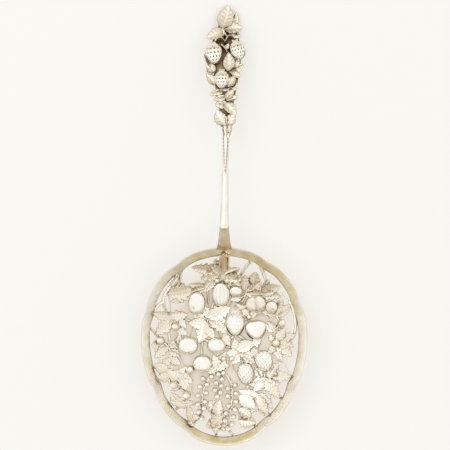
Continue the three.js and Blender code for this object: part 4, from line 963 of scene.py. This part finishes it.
def model_spray(node, spray, ground, style):
    shape = start_shape()
    chance = random.Random(node)
    for leaf in spray.leaves:
        add_leaf(shape, leaf, ground, style, chance)
    for at in spray.berries:
        add_berry(shape, at, BERRY_SIZE, ground)
    for at in spray.buds:
        add_berry(shape, at, BUD_SIZE, ground)
    for run in spray.stalks:
        add_stalk(shape, [ground.plan(share) for share in run], ground, style.stalk)
    stain_all(shape, SPRAY_STAIN.get(node, PLAIN_STAIN))
    return shape


for node, spray in BOWL_SPRAYS.items():
    shape = model_spray(node, spray, BOWL, SPRAY_STYLES.get(node, BOWL_LEAF))
    finish_piece(shape, node, LEAF_SILVER)
print("leaves in the bowl:", sum(len(spray.leaves) for spray in BOWL_SPRAYS.values()))

# %% [markdown]
# ## Trusses of currants
# A truss is a thin stem with polished currants on both sides, each on a short stalk from the nearest
# place on the stem. The beads are small, so each keeps only a few hundred faces.

# %% The three trusses
Truss = namedtuple("Truss", "stem currants")
TRUSS_WIRE = (0.9, 0.6)
TRUSS_HEIGHT = 0.7
TWIG_HEIGHT = 0.6
CURRANT_FACES = (20, 14)
TRUSSES = {
    "currants_left": Truss(
        [(-0.15, -0.33), (-0.24, -0.41), (-0.29, -0.53), (-0.3, -0.66), (-0.31, -0.8)],
        [(-0.175, -0.345), (-0.29, -0.365), (-0.235, -0.43), (-0.33, -0.455), (-0.245, -0.525),
         (-0.355, -0.55), (-0.26, -0.62), (-0.355, -0.645), (-0.27, -0.69), (-0.345, -0.73), (-0.3, -0.8)]),
    "currants_middle": Truss(
        [(0.05, -0.15), (0.035, -0.225), (0, -0.32), (-0.055, -0.43), (-0.09, -0.56)],
        [(-0.01, -0.145), (0.1, -0.145), (0.035, -0.225), (-0.01, -0.305), (-0.08, -0.32), (-0.11, -0.415),
         (-0.03, -0.375), (-0.04, -0.45), (-0.125, -0.495), (-0.05, -0.52), (-0.095, -0.565)]),
    "currants_right": Truss(
        [(0.09, -0.39), (0.11, -0.52), (0.1, -0.65), (0.07, -0.78), (0.05, -0.88)],
        [(0.15, -0.44), (0.05, -0.475), (0.16, -0.53), (0.05, -0.56), (0.16, -0.62), (0.055, -0.665),
         (0.145, -0.705), (0.02, -0.745), (0.125, -0.785), (0.01, -0.825), (0.105, -0.86), (0.045, -0.91)]),
}


def model_truss(truss):
    shape = start_shape()
    stem = [in_bowl(share) for share in truss.stem]
    add_wire(shape, stem, TRUSS_WIRE, TRUSS_HEIGHT, BOWL.seat, BOWL.lay)
    starts = smooth_line(stem, WIRE_STEP)
    for at in truss.currants:
        end = in_bowl(at)
        near = min(starts, key=lambda point: (point - end).length)
        if (near - end).length > CURRANT_SIZE / 2:
            add_wire(shape, [near, end], TRUSS_WIRE, TWIG_HEIGHT, BOWL.seat, BOWL.lay)
        add_berry(shape, at, CURRANT_SIZE, BOWL, CURRANT_FACES)
    return shape


for node, truss in TRUSSES.items():
    finish_piece(model_truss(truss), node, CURRANT_SILVER)
print("currants:", sum(len(truss.currants) for truss in TRUSSES.values()))

# %% [markdown]
# ## Smooth fruit
# The larger fruit are the brightest things on the spoon, because a cloth rubs them first. Most have a
# dimple, the middle gooseberry has fine ribs and a dark blossom end, the apricot a deep seam and the fig
# a heart's two lobes. Each is the same sphere with a skin of its own.

# %% Skins of the smooth fruit
DIMPLE_DARK = 0.5
RIB_DEPTH = 0.025
RIB_DARK = 0.42
RIB_FADE = 1.6
END_SIZE = 0.06
END_DEPTH = 0.08
END_DARK = 0.8
SEAM_DARK = 0.4
HEART_SPREAD = 0.3
HEART_DEPTH = 0.1
HEART_DARK = 0.12


def dimpled(direction, size=0.16, depth=0.1):
    """A skin with one dark dimple towards a direction."""
    aim = Vector(direction).normalized()

    def skin(point):
        pit = hill((point - aim).length, size)
        return 1 - depth * pit, DIMPLE_DARK * pit ** 2
    return skin


def ribbed(ribs, width):
    """A skin with fine ribs from the stalk to the blossom end, which is dark."""
    def skin(point):
        turn = math.atan2(point.z, point.x) / (2 * math.pi) * ribs
        girth = math.hypot(point.x, point.z)
        line = hill((turn % 1 - 0.5) * girth, width) * min(1, girth * RIB_FADE)
        end = hill(point.y + 1, END_SIZE)
        return 1 - RIB_DEPTH * line - END_DEPTH * end, RIB_DARK * line + END_DARK * end
    return skin


def seamed(spread, depth):
    """A skin drawn in along a seam round the middle."""
    def skin(point):
        seam = hill(point.y, spread)
        return 1 - depth * seam, SEAM_DARK * seam ** 3
    return skin


def heart_shaped(point):
    """A skin with two lobes at the stalk's end."""
    lobes = hill(point.x, HEART_SPREAD) * max(point.y, 0) ** 2
    return 1 - HEART_DEPTH * lobes, HEART_DARK * lobes ** 2


# %% The nine smooth fruits
SMOOTH_FRUIT = {
    "gooseberry_middle": (Fruit((-0.045, 0.565), 9, 12.2, 5.6), ribbed(13, 0.09)),
    "gooseberry_left": (Fruit((-0.37, 0.47), 8.6, 11.4, 5.6, -6), dimpled((-0.35, -0.45, 0.8), 0.2, 0.05)),
    "plum": (Fruit((0.155, 0.6), 5.4, 7.2, 3.8, 88), dimpled((0, -0.9, 0.4))),
    "apricot": (Fruit((0.425, 0.465), 8.6, 10.4, 5.2, -84), seamed(0.16, 0.2)),
    "sloe": (Fruit((0.635, 0.43), 6.2, 6.4, 4.2), dimpled((0.3, -0.4, 0.8))),
    "fig": (Fruit((0.43, 0.177), 9.9, 9.9, 5, 8, 0.4), heart_shaped),
    "cherry_left": (Fruit((-0.487, 0.002), 9.7, 9, 6.2), dimpled((0.1, -0.85, 0.5), 0.12)),
    "cherry_right": (Fruit((-0.105, 0.003), 9.3, 7.8, 5.8), dimpled((-0.2, -0.8, 0.55), 0.12)),
    "cherry_lower": (Fruit((-0.295, -0.2), 9.4, 8.8, 6.2), dimpled((-0.12, -0.8, 0.55), 0.12)),
}
SMOOTH_FACES = (64, 44)
FRUIT_STAIN = {"apricot": 0.4, "plum": 0.3, "sloe": 0.25}


def model_fruit(fruit, ground, skin, faces, stain=0):
    shape = start_shape()
    add_fruit(shape, fruit, ground, skin, faces)
    stain_all(shape, stain)
    return shape


for node, (fruit, skin) in SMOOTH_FRUIT.items():
    shape = model_fruit(fruit, BOWL, skin, SMOOTH_FACES, FRUIT_STAIN.get(node, 0))
    finish_piece(shape, node, FRUIT_SILVER)
print("smooth fruits:", len(SMOOTH_FRUIT))

# %% [markdown]
# ## Strawberries and raspberries
# These are stamped with marks: pits for a strawberry's seeds, round grains for a raspberry. Seeds lie in
# rows, each row shifted by half a step. Grains lie in a spiral, which packs them evenly and shows no
# rows. A search tree then tells each vertex how far the nearest mark is, which is far quicker than asking
# every mark in turn.

# %% Marks on a sphere, in rows or in a spiral
GOLDEN_ANGLE = math.pi * (3 - math.sqrt(5))
FIRST_ROW = math.acos(0.86)
LAST_ROW = math.acos(-0.92)


def search_tree(points):
    tree = KDTree(len(points))
    for index, point in enumerate(points):
        tree.insert(point, index)
    tree.balance()
    return tree


def marks_in_rows(step):
    points = []
    rows = round((LAST_ROW - FIRST_ROW) / step)
    for row in range(rows + 1):
        slope = FIRST_ROW + (LAST_ROW - FIRST_ROW) * row / rows
        girth = math.sin(slope)
        count = max(3, round(2 * math.pi * girth / step))
        for index in range(count):
            turn = 2 * math.pi * (index + row % 2 / 2) / count
            points.append((girth * math.cos(turn), math.cos(slope), girth * math.sin(turn)))
    return search_tree(points)


def marks_in_spiral(step):
    points = []
    count = round(4 * math.pi / step ** 2)
    for index in range(count):
        height = 1 - (2 * index + 1) / count
        girth = math.sqrt(1 - height ** 2)
        turn = GOLDEN_ANGLE * index
        points.append((girth * math.cos(turn), height, girth * math.sin(turn)))
    return search_tree(points)


# %% Skins of the marked fruit
GRAIN_REACH = 0.56
GRAIN_DARK = 0.22
TIP_DARK = 0.4


def seeded(step, size, depth, dark):
    """A strawberry's skin: round pits in rows."""
    tree = marks_in_rows(step)

    def skin(point):
        pit = math.exp(-((tree.find(point)[2] / size) ** 4))
        return 1 - depth * pit, dark * pit
    return skin


def grained(step, depth):
    """A raspberry's skin: round grains packed in a spiral, dark between them and most at the tip."""
    tree = marks_in_spiral(step)

    def skin(point):
        off = min(1, tree.find(point)[2] / (step * GRAIN_REACH))
        dark = GRAIN_DARK + TIP_DARK * max(-point.y, 0) ** 2
        return 1 + depth * math.sqrt(1 - off ** 2), dark * off ** 4
    return skin


# %% A calyx on a strawberry's shoulder
SEPALS = 6
SEPAL_FACES = (6, 12)
SEPAL_THICKNESS = 0.4
SEPAL_WIDTH = 0.24
SEPAL_POINT = 0.08
SEPAL_FOOT = 0.25
SEPAL_FOLD = 0.5
SEPAL_DARK = 0.3
CALYX_PLACE = 0.4
CALYX_HEIGHT = 0.86
CALYX_DROP = 0.3


def add_calyx(shape, fruit, reach, ground):
    """A star of small pointed leaves round the stalk, bent over the fruit."""
    spin = Matrix.Rotation(math.radians(fruit.turn), 2)
    middle = ground.plan(fruit.at) + spin @ Vector((0, fruit.long * CALYX_PLACE))
    recess_and_shade = shape.verts.layers.float[RECESS_AND_SHADE]
    for index in range(SEPALS):
        turn = math.radians(fruit.turn) + 2 * math.pi * (index + 0.5) / SEPALS
        ahead = Vector((-math.sin(turn), math.cos(turn)))
        right = Vector((ahead.y, -ahead.x))
        blade, faces = add_blade(shape, SEPAL_FACES)
        for vert in blade:
            across, along = vert.co.x, (vert.co.y + 1) / 2
            swell = math.sin(math.pi * (SEPAL_FOOT + (1 - SEPAL_FOOT) * along))
            half = reach * SEPAL_WIDTH * swell + SEPAL_POINT
            plan = middle + ahead * (along * reach) + right * (across * half)
            height = fruit.high * (CALYX_HEIGHT - CALYX_DROP * along ** 2) + SEPAL_FOLD * abs(across) * half
            vert.co = ground.lay(plan.x, plan.y, ground.seat + height)
            vert[recess_and_shade] = SEPAL_DARK * (1 - abs(across)) ** 2
        bmesh.ops.solidify(shape, geom=faces, thickness=SEPAL_THICKNESS)


# %% The marked fruit of the bowl
MARKED_FACES = (128, 84)
STRAWBERRY = Fruit((0.15, 0.235), 9, 11.4, 5.6, 0, 0.3)
STRAWBERRY_CALYX = 4.2
RASPBERRIES = {
    "raspberry_right": Fruit((0.535, -0.17), 8, 9.8, 5.4, 8, 0.15),
    "raspberry_left": Fruit((0.29, -0.31), 7.4, 10, 5.2, 6, 0.15),
}
strawberry_skin = seeded(0.34, 0.06, 0.04, 0.32)
raspberry_skin = grained(0.4, 0.1)

shape = model_fruit(STRAWBERRY, BOWL, strawberry_skin, MARKED_FACES)
add_calyx(shape, STRAWBERRY, STRAWBERRY_CALYX, BOWL)
finish_piece(shape, "strawberry", FRUIT_SILVER)
for node, raspberry in RASPBERRIES.items():
    shape = model_fruit(raspberry, BOWL, raspberry_skin, MARKED_FACES)
    finish_piece(shape, node, FRUIT_SILVER)
print("marked fruits in the bowl:", 1 + len(RASPBERRIES))

# %% [markdown]
# ## The neck and the stem
# The neck is forged in one heat: it laps the rim, climbs and narrows to the stem. The stem is a plain
# drawn bar with a rounded top and two engraved lines near the finial, between which a reed stands in
# relief. All three are swept in the same way as the vines.

# %% The neck
RIM_TOP = 1.75
LIP_WIDTH = 0.9
NECK_LAP = 1.1
NECK_WIDTH = 7.8
NECK_THICKNESS = 1.8
NECK_END_SLOPE = 0.5
NECK_FLARE = 1.5
NECK_STAIN = 1
NECK_DARKENING = 0.2
NECK_EDGE_DARKENING = 0.3
NECK_TUCK = 0.8
LAP_SHARE = 0.3
LAP_EDGE = 0.1
STEM_FOOT_WIDTH = 4.6
STEM_THICKNESS = 2.2
BAR_SIDES = 24
NECK_STEPS = 40


def on_neck(x, y, height):
    """The neck's back: it rests on the rim, then climbs and levels out at the stem."""
    rest = RIM_TOP + SOLDER_GAP
    edge = BOWL_LENGTH / 2 + LIP_WIDTH
    if y <= edge:
        return on_bowl(x, y, rest + height)
    span = NECK_JOINT - edge
    start = bowl_height(x, edge) + rest
    slope = bowl_height(x, edge + 1) - bowl_height(x, edge)
    t = (y - edge) / span
    leave = (2 * t ** 3 - 3 * t ** 2 + 1) * start + (t ** 3 - 2 * t ** 2 + t) * slope * span
    arrive = (3 * t ** 2 - 2 * t ** 3) * HANDLE_RISE + (t ** 3 - t ** 2) * NECK_END_SLOPE * span
    return Vector((x, y, leave + arrive + height))


def add_bar(shape, lay, start, end, steps, width_at, height_at, base=0):
    """A bar between two plan points, with its width and height given along it."""
    ahead = (end - start).normalized()
    stations = []
    for index in range(steps + 1):
        along = index / steps
        point = start + (end - start) * along
        stations.append(station(lay, point, ahead, width_at(along) / 2, height_at(along), base))
    sweep(shape, stations, BAR_SIDES)


def neck_width(along):
    return STEM_FOOT_WIDTH + (NECK_WIDTH - STEM_FOOT_WIDTH) * (1 - along) ** NECK_FLARE


def neck_thickness(along):
    """Thin where it laps the rim, so that it blends into the band."""
    full = NECK_THICKNESS + (STEM_THICKNESS - NECK_THICKNESS) * along
    return full * min(LAP_EDGE + along / LAP_SHARE, 1)


neck_foot = Vector((0, BOWL_LENGTH / 2 - NECK_LAP))
neck_end = Vector((0, NECK_JOINT + NECK_TUCK))
neck = start_shape()
add_bar(neck, on_neck, neck_foot, neck_end, NECK_STEPS, neck_width, neck_thickness)
stain, recess_and_shade = neck.verts.layers.float[STAIN], neck.verts.layers.float[RECESS_AND_SHADE]
for vert in neck.verts:
    along = min(max((vert.co.y - neck_foot.y) / (neck_end.y - neck_foot.y), 0), 1)
    vert[stain] = NECK_STAIN
    # darker all over the neck, and more towards its sides
    vert[recess_and_shade] = NECK_DARKENING + NECK_EDGE_DARKENING * min(abs(vert.co.x) / neck_width(along) * 2, 1) ** 6
finish_piece(neck, "neck", HANDLE_SILVER)
print("the neck narrows from", NECK_WIDTH, "to", STEM_FOOT_WIDTH, "mm")

# %% The stem
STEM_WIDTH = 3.4
STEM_FLARE = 4
STEM_STEPS = 90
STEM_STAIN = 0.18
REED_LENGTH = 21
REED_WIDTH = 2.2
GROOVE_WIDTH = 0.4
GROOVE_REACH = 1.1
GROOVE_DARK = 0.7
BEAD_DARK = 0.3
GROOVE_BEADS = 3.6


def stem_width(along):
    return STEM_WIDTH + (STEM_FOOT_WIDTH - STEM_WIDTH) * (1 - along) ** STEM_FLARE


stem_foot = Vector((0, NECK_JOINT - SOLDER_GAP / 2))
stem_top = Vector((HANDLE_LEAN, FINIAL_FOOT - SOLDER_GAP / 2))
stem = start_shape()
add_bar(stem, on_handle, stem_foot, stem_top, STEM_STEPS, stem_width, lambda along: STEM_THICKNESS)
stain_all(stem, STEM_STAIN)
recess_and_shade = stem.verts.layers.float[RECESS_AND_SHADE]
for vert in stem.verts:
    from_finial = (FINIAL_FOOT - vert.co.y) / REED_LENGTH
    middle = HANDLE_LEAN * (vert.co.y - stem_foot.y) / (stem_top.y - stem_foot.y)
    beside_reed = abs(vert.co.x - middle) - REED_WIDTH / 2 * (1 - from_finial) - GROOVE_WIDTH / 2
    if from_finial < GROOVE_REACH:
        beads = GROOVE_DARK + BEAD_DARK * math.sin(vert.co.y * GROOVE_BEADS)
        vert[recess_and_shade] = beads * hill(beside_reed, GROOVE_WIDTH)
finish_piece(stem, "stem", HANDLE_SILVER)
print("the stem is", round(stem_top.y - stem_foot.y, 1), "mm long")

# %% The reed on the stem
REED_HEIGHT = 0.9
REED_TIP_HEIGHT = 0.3
REED_TIP_WIDTH = 0.25
REED_SINK = 0.3
REED_STEPS = 45


def reed_width(along):
    return REED_WIDTH + (REED_TIP_WIDTH - REED_WIDTH) * along


def reed_height(along):
    return REED_HEIGHT + (REED_TIP_HEIGHT - REED_HEIGHT) * along


reed_top = Vector((HANDLE_LEAN, FINIAL_FOOT - SOLDER_GAP))
reed_lean = HANDLE_LEAN * (1 - REED_LENGTH / (FINIAL_FOOT - NECK_JOINT))
reed_tip = Vector((reed_lean, reed_top.y - REED_LENGTH))
reed_base = STEM_THICKNESS - REED_SINK
reed = start_shape()
add_bar(reed, on_handle, reed_top, reed_tip, REED_STEPS, reed_width, reed_height, reed_base)
finish_piece(reed, "stem_reed", HANDLE_SILVER)
print("the reed is", REED_LENGTH, "mm long")

# %% [markdown]
# ## The finial
# The finial's back plate is all but hidden: it shows as the dark ground between the leaves, and its dark
# brown is patina and painted shade. Three strawberries with deep seed pits stand on it, among leaves that
# overlap like shingles towards the stem. The leaves nearest the stem are pierced by a few small holes,
# which are darkened rather than cut because they are so small.

# %% The back plate
PLATE_WIDTH = 15.4
PLATE_FOOT_WIDTH = 5.4
PLATE_TIP_WIDTH = 5
PLATE_BELLY = 38
PLATE_STEPS = 90


def ease(value, low, high):
    t = min(max((value - low) / (high - low), 0), 1)
    return t * t * (3 - 2 * t)


def plate_width(along):
    place = along * (PLATE_END - FINIAL_FOOT)
    swollen = PLATE_FOOT_WIDTH + (PLATE_WIDTH - PLATE_FOOT_WIDTH) * ease(place, 0, PLATE_BELLY)
    return swollen + (PLATE_TIP_WIDTH - swollen) * ease(place, PLATE_BELLY, PLATE_END - FINIAL_FOOT)


plate_foot = Vector((HANDLE_LEAN, FINIAL_FOOT + SOLDER_GAP / 2))
plate_top = Vector((HANDLE_LEAN, PLATE_END))
plate = start_shape()
add_bar(plate, on_handle, plate_foot, plate_top, PLATE_STEPS, plate_width, lambda along: PLATE_THICKNESS)
finish_piece(plate, "finial_plate", PLATE_PATINA_AND_SHADE)
print("the plate is", round(PLATE_END - FINIAL_FOOT, 1), "mm long")

# %% The finial's strawberries
FINIAL_FRUIT = {
    "finial_strawberry_left": (Fruit((-0.485, 0.6), 8.2, 10.4, 5, 6, 0.25, 0.8), 2.8),
    "finial_strawberry_right": (Fruit((0.65, 0.625), 7.3, 9, 4.6, 16, 0.25, 0.8), 2.9),
    "finial_strawberry_lower": (Fruit((-0.115, 0.385), 7.2, 8.8, 4.8, 0, 0.25, 0.8), 2.5),
}
deep_seeds = seeded(0.46, 0.105, 0.1, 1)

for node, (fruit, reach) in FINIAL_FRUIT.items():
    shape = model_fruit(fruit, FINIAL, deep_seeds, MARKED_FACES)
    add_calyx(shape, fruit, reach, FINIAL)
    finish_piece(shape, node, SEEDED_SILVER)
print("strawberries on the finial:", len(FINIAL_FRUIT))

# %% The finial's leaves
FINIAL_SPRAYS = {
    "finial_tip_leaf": Spray(
        [Leaf((-0.12, 0.815), (0.2, 1), 8.4, 1)]),
    "finial_upper_leaves_right": Spray(
        [Leaf((0, 0.81), (0.87, 0.815), 6, 0.6), Leaf((0.33, 0.83), (0.56, 0.945), 4.6, 0.6),
         Leaf((0.25, 0.79), (0.75, 0.735), 4.6)]),
    "finial_upper_leaf_left": Spray(
        [Leaf((-0.04, 0.8), (-0.84, 0.735), 6.2)],
        stalks=[[(-0.06, 0.79), (0, 0.75), (-0.08, 0.725)], [(0, 0.76), (0.12, 0.725)],
                [(-0.42, 0.685), (-0.37, 0.703), (-0.2, 0.718), (-0.05, 0.708), (0.02, 0.68)],
                [(0.06, 0.685), (0.12, 0.716), (0.26, 0.735), (0.39, 0.73), (0.5, 0.705)],
                [(-0.12, 0.66), (0, 0.64), (0.13, 0.605)]]),
    "finial_side_leaves_right": Spray(
        [Leaf((0.18, 0.46), (0.2, 0.612), 6), Leaf((0.22, 0.45), (0.92, 0.51), 4.8),
         Leaf((0.36, 0.44), (0.78, 0.415), 3.6), Leaf((0.4, 0.49), (0.78, 0.575), 4),
         Leaf((0.17, 0.33), (0.53, 0.415), 4.2), Leaf((0.04, 0.635), (0.21, 0.685), 2.4)]),
    "finial_side_leaves_left": Spray(
        [Leaf((-0.42, 0.46), (-0.87, 0.5), 4.6), Leaf((-0.55, 0.48), (-0.95, 0.6), 3.6),
         Leaf((-0.44, 0.445), (-0.88, 0.445), 3.6), Leaf((-0.42, 0.345), (-0.84, 0.43), 4.2)]),
    "finial_lower_leaves": Spray(
        [Leaf((-0.25, 0.31), (0.54, 0.33), 3.2), Leaf((-0.06, 0.29), (-0.68, 0.262), 3.4),
         Leaf((0.1, 0.245), (-0.5, 0.222), 3.4), Leaf((0.06, 0.235), (0.44, 0.305), 3.6),
         Leaf((0.1, 0.222), (0.64, 0.25), 3.4), Leaf((0.22, 0.305), (0.62, 0.355), 3.6)]),
    "finial_foot_leaves": Spray(
        [Leaf((0.14, 0.185), (-0.44, 0.185), 4.6), Leaf((0.02, 0.195), (0.56, 0.1), 5.4),
         Leaf((0.1, 0.015), (-0.36, 0.14), 6.4), Leaf((0.18, 0.012), (0.46, 0.115), 5.2),
         Leaf((0.02, 0.025), (0.1, -0.095), 2.8), Leaf((0.28, 0.025), (0.18, -0.095), 2.8)]),
}
print("leaves on the finial:", sum(len(spray.leaves) for spray in FINIAL_SPRAYS.values()))

# %% Model the finial's leaves and pierce them
STAR_PIERCING = ((0.16, 0.055), (0.2, 0.02), (0.38, 0.012), (-0.08, 0.01), (0.15, -0.005), (0.2, -0.045))
PIERCING_SIZE = 0.5


def pierce(shape):
    """Darkens the small holes of the star where the finial meets the stem."""
    recess_and_shade = shape.verts.layers.float[RECESS_AND_SHADE]
    holes = [in_finial(share) for share in STAR_PIERCING]
    for vert in shape.verts:
        nearest = min((vert.co.xy - hole).length for hole in holes)
        vert[recess_and_shade] = max(vert[recess_and_shade], hill(nearest, PIERCING_SIZE))


for node, spray in FINIAL_SPRAYS.items():
    shape = model_spray(node, spray, FINIAL, FINIAL_LEAF)
    pierce(shape)
    finish_piece(shape, node, FINIAL_SILVER)
print("castings of leaves on the finial:", len(FINIAL_SPRAYS))

# %% [markdown]
# ## Floor and light
# The spoon lies on a plain off-white sheet under soft light. The sheet glows, but only for rays that come
# from the camera or from a reflection, so that it stays pale without lighting the spoon from below.
# Ambient occlusion darkens and warms its glow near the metal, as a painted shadow. The sky above is white,
# and turns to a warmer, darker tone near the horizon: that is what the rim's slope and the neck reflect, so
# it decides how the silver looks.
# One broad lamp from the upper left adds soft shadows and the highlights on the fruit.

# %% The floor
FLOOR_SIZE = 3.0
FLOOR_COLOUR = (0.87, 0.945, 0.935)
GLOW_COLOUR = (0.965, 0.922, 0.885)
FLOOR_GLOW = 0.7
FLOOR_ROUGHNESS = 0.9
SHADE_FULL = 0.4
SHADE_NONE = 0.95
FLOOR_SHADES = (
    (0.016, (0.97, 0.88, 0.8)),
    (0.006, (0.79, 0.67, 0.5)),
)

floor_shape = bmesh.new()
bmesh.ops.create_grid(floor_shape, x_segments=1, y_segments=1, size=FLOOR_SIZE)
floor_mesh = bpy.data.meshes.new("floor")
floor_shape.to_mesh(floor_mesh)
floor_shape.free()
floor = bpy.data.objects.new("floor", floor_mesh)
bpy.context.scene.collection.objects.link(floor)

sheet = bpy.data.materials.new("white_sheet")
sheet.use_nodes = True
tree = sheet.node_tree
sheet_shader = tree.nodes["Principled BSDF"]
sheet_shader.inputs["Base Color"].default_value = (*FLOOR_COLOUR, 1)
sheet_shader.inputs["Roughness"].default_value = FLOOR_ROUGHNESS
sheet_shader.inputs["Specular IOR Level"].default_value = 0
glow_colour = GLOW_COLOUR
# Painted shadow: ambient occlusion darkens and warms the floor's glow under and beside the spoon.
for reach, shade in FLOOR_SHADES:
    lit = link_range(tree, link_openness(tree, reach), SHADE_FULL, SHADE_NONE)
    glow_colour = link_mix(tree, lit, shade, glow_colour)
glow = tree.nodes.new("ShaderNodeEmission")
tree.links.new(glow_colour, glow.inputs["Color"])
ray = tree.nodes.new("ShaderNodeLightPath").outputs
seen = link_math(tree, "ADD", ray["Is Camera Ray"], ray["Is Glossy Ray"])
seen = link_math(tree, "ADD", seen, ray["Is Transmission Ray"])
both = tree.nodes.new("ShaderNodeMixShader")
tree.links.new(link_math(tree, "MULTIPLY", seen, FLOOR_GLOW), both.inputs["Fac"])
tree.links.new(sheet_shader.outputs["BSDF"], both.inputs[1])
tree.links.new(glow.outputs["Emission"], both.inputs[2])
tree.links.new(both.outputs["Shader"], tree.nodes["Material Output"].inputs["Surface"])
floor_mesh.materials.append(sheet)
print("the floor is", 2 * FLOOR_SIZE, "m wide")

# %% The sky
ZENITH = (1.0, 0.995, 0.975)
LEFT_WALL = (1.0, 0.985, 0.96)
RIGHT_WALL = (0.93, 0.915, 0.86)
FAR_WALL = (0.68, 0.6, 0.4)
NEAR_WALL = (0.56, 0.47, 0.31)
NEAR_HEIGHT = 0.35
MIDWAY = 0.5
WALL_FULL = 0.15
WALL_NONE = 0.55

world = bpy.data.worlds.new("studio")
bpy.context.scene.world = world
world.use_nodes = True
tree = world.node_tree
direction = tree.nodes.new("ShaderNodeSeparateXYZ")
tree.links.new(tree.nodes.new("ShaderNodeTexCoord").outputs["Generated"], direction.inputs["Vector"])
x, y, z = direction.outputs
ends = link_mix(tree, link_math(tree, "ADD", y, MIDWAY), NEAR_WALL, FAR_WALL)
sides = link_mix(tree, link_math(tree, "ADD", x, MIDWAY), LEFT_WALL, RIGHT_WALL)
sideways = link_math(tree, "MULTIPLY", x, x)
walls = link_mix(tree, sideways, ends, sides)
towards_near = link_math(tree, "MULTIPLY", y, -NEAR_HEIGHT)
above_wall = link_math(tree, "SUBTRACT", z, towards_near)
climb = link_range(tree, above_wall, WALL_FULL, WALL_NONE, "SMOOTHSTEP")
tree.links.new(link_mix(tree, climb, walls, ZENITH), tree.nodes["Background"].inputs["Color"])
print("the sky has", len(tree.nodes), "nodes")

# %% The lamp
LAMP_PLACE = Vector((-0.45, 0.5, 1.15))
LAMP_SIZE = 0.6
LAMP_POWER = 2.2

lamp_data = bpy.data.lights.new("soft_lamp", "AREA")
lamp_data.size = LAMP_SIZE
lamp_data.energy = LAMP_POWER
lamp = bpy.data.objects.new("soft_lamp", lamp_data)
lamp.location = LAMP_PLACE
lamp.rotation_euler = (-LAMP_PLACE).to_track_quat("-Z", "Y").to_euler()
bpy.context.scene.collection.objects.link(lamp)
bpy.context.scene.view_settings.view_transform = "Standard"
print("the lamp hangs", round(LAMP_PLACE.length, 2), "m away")
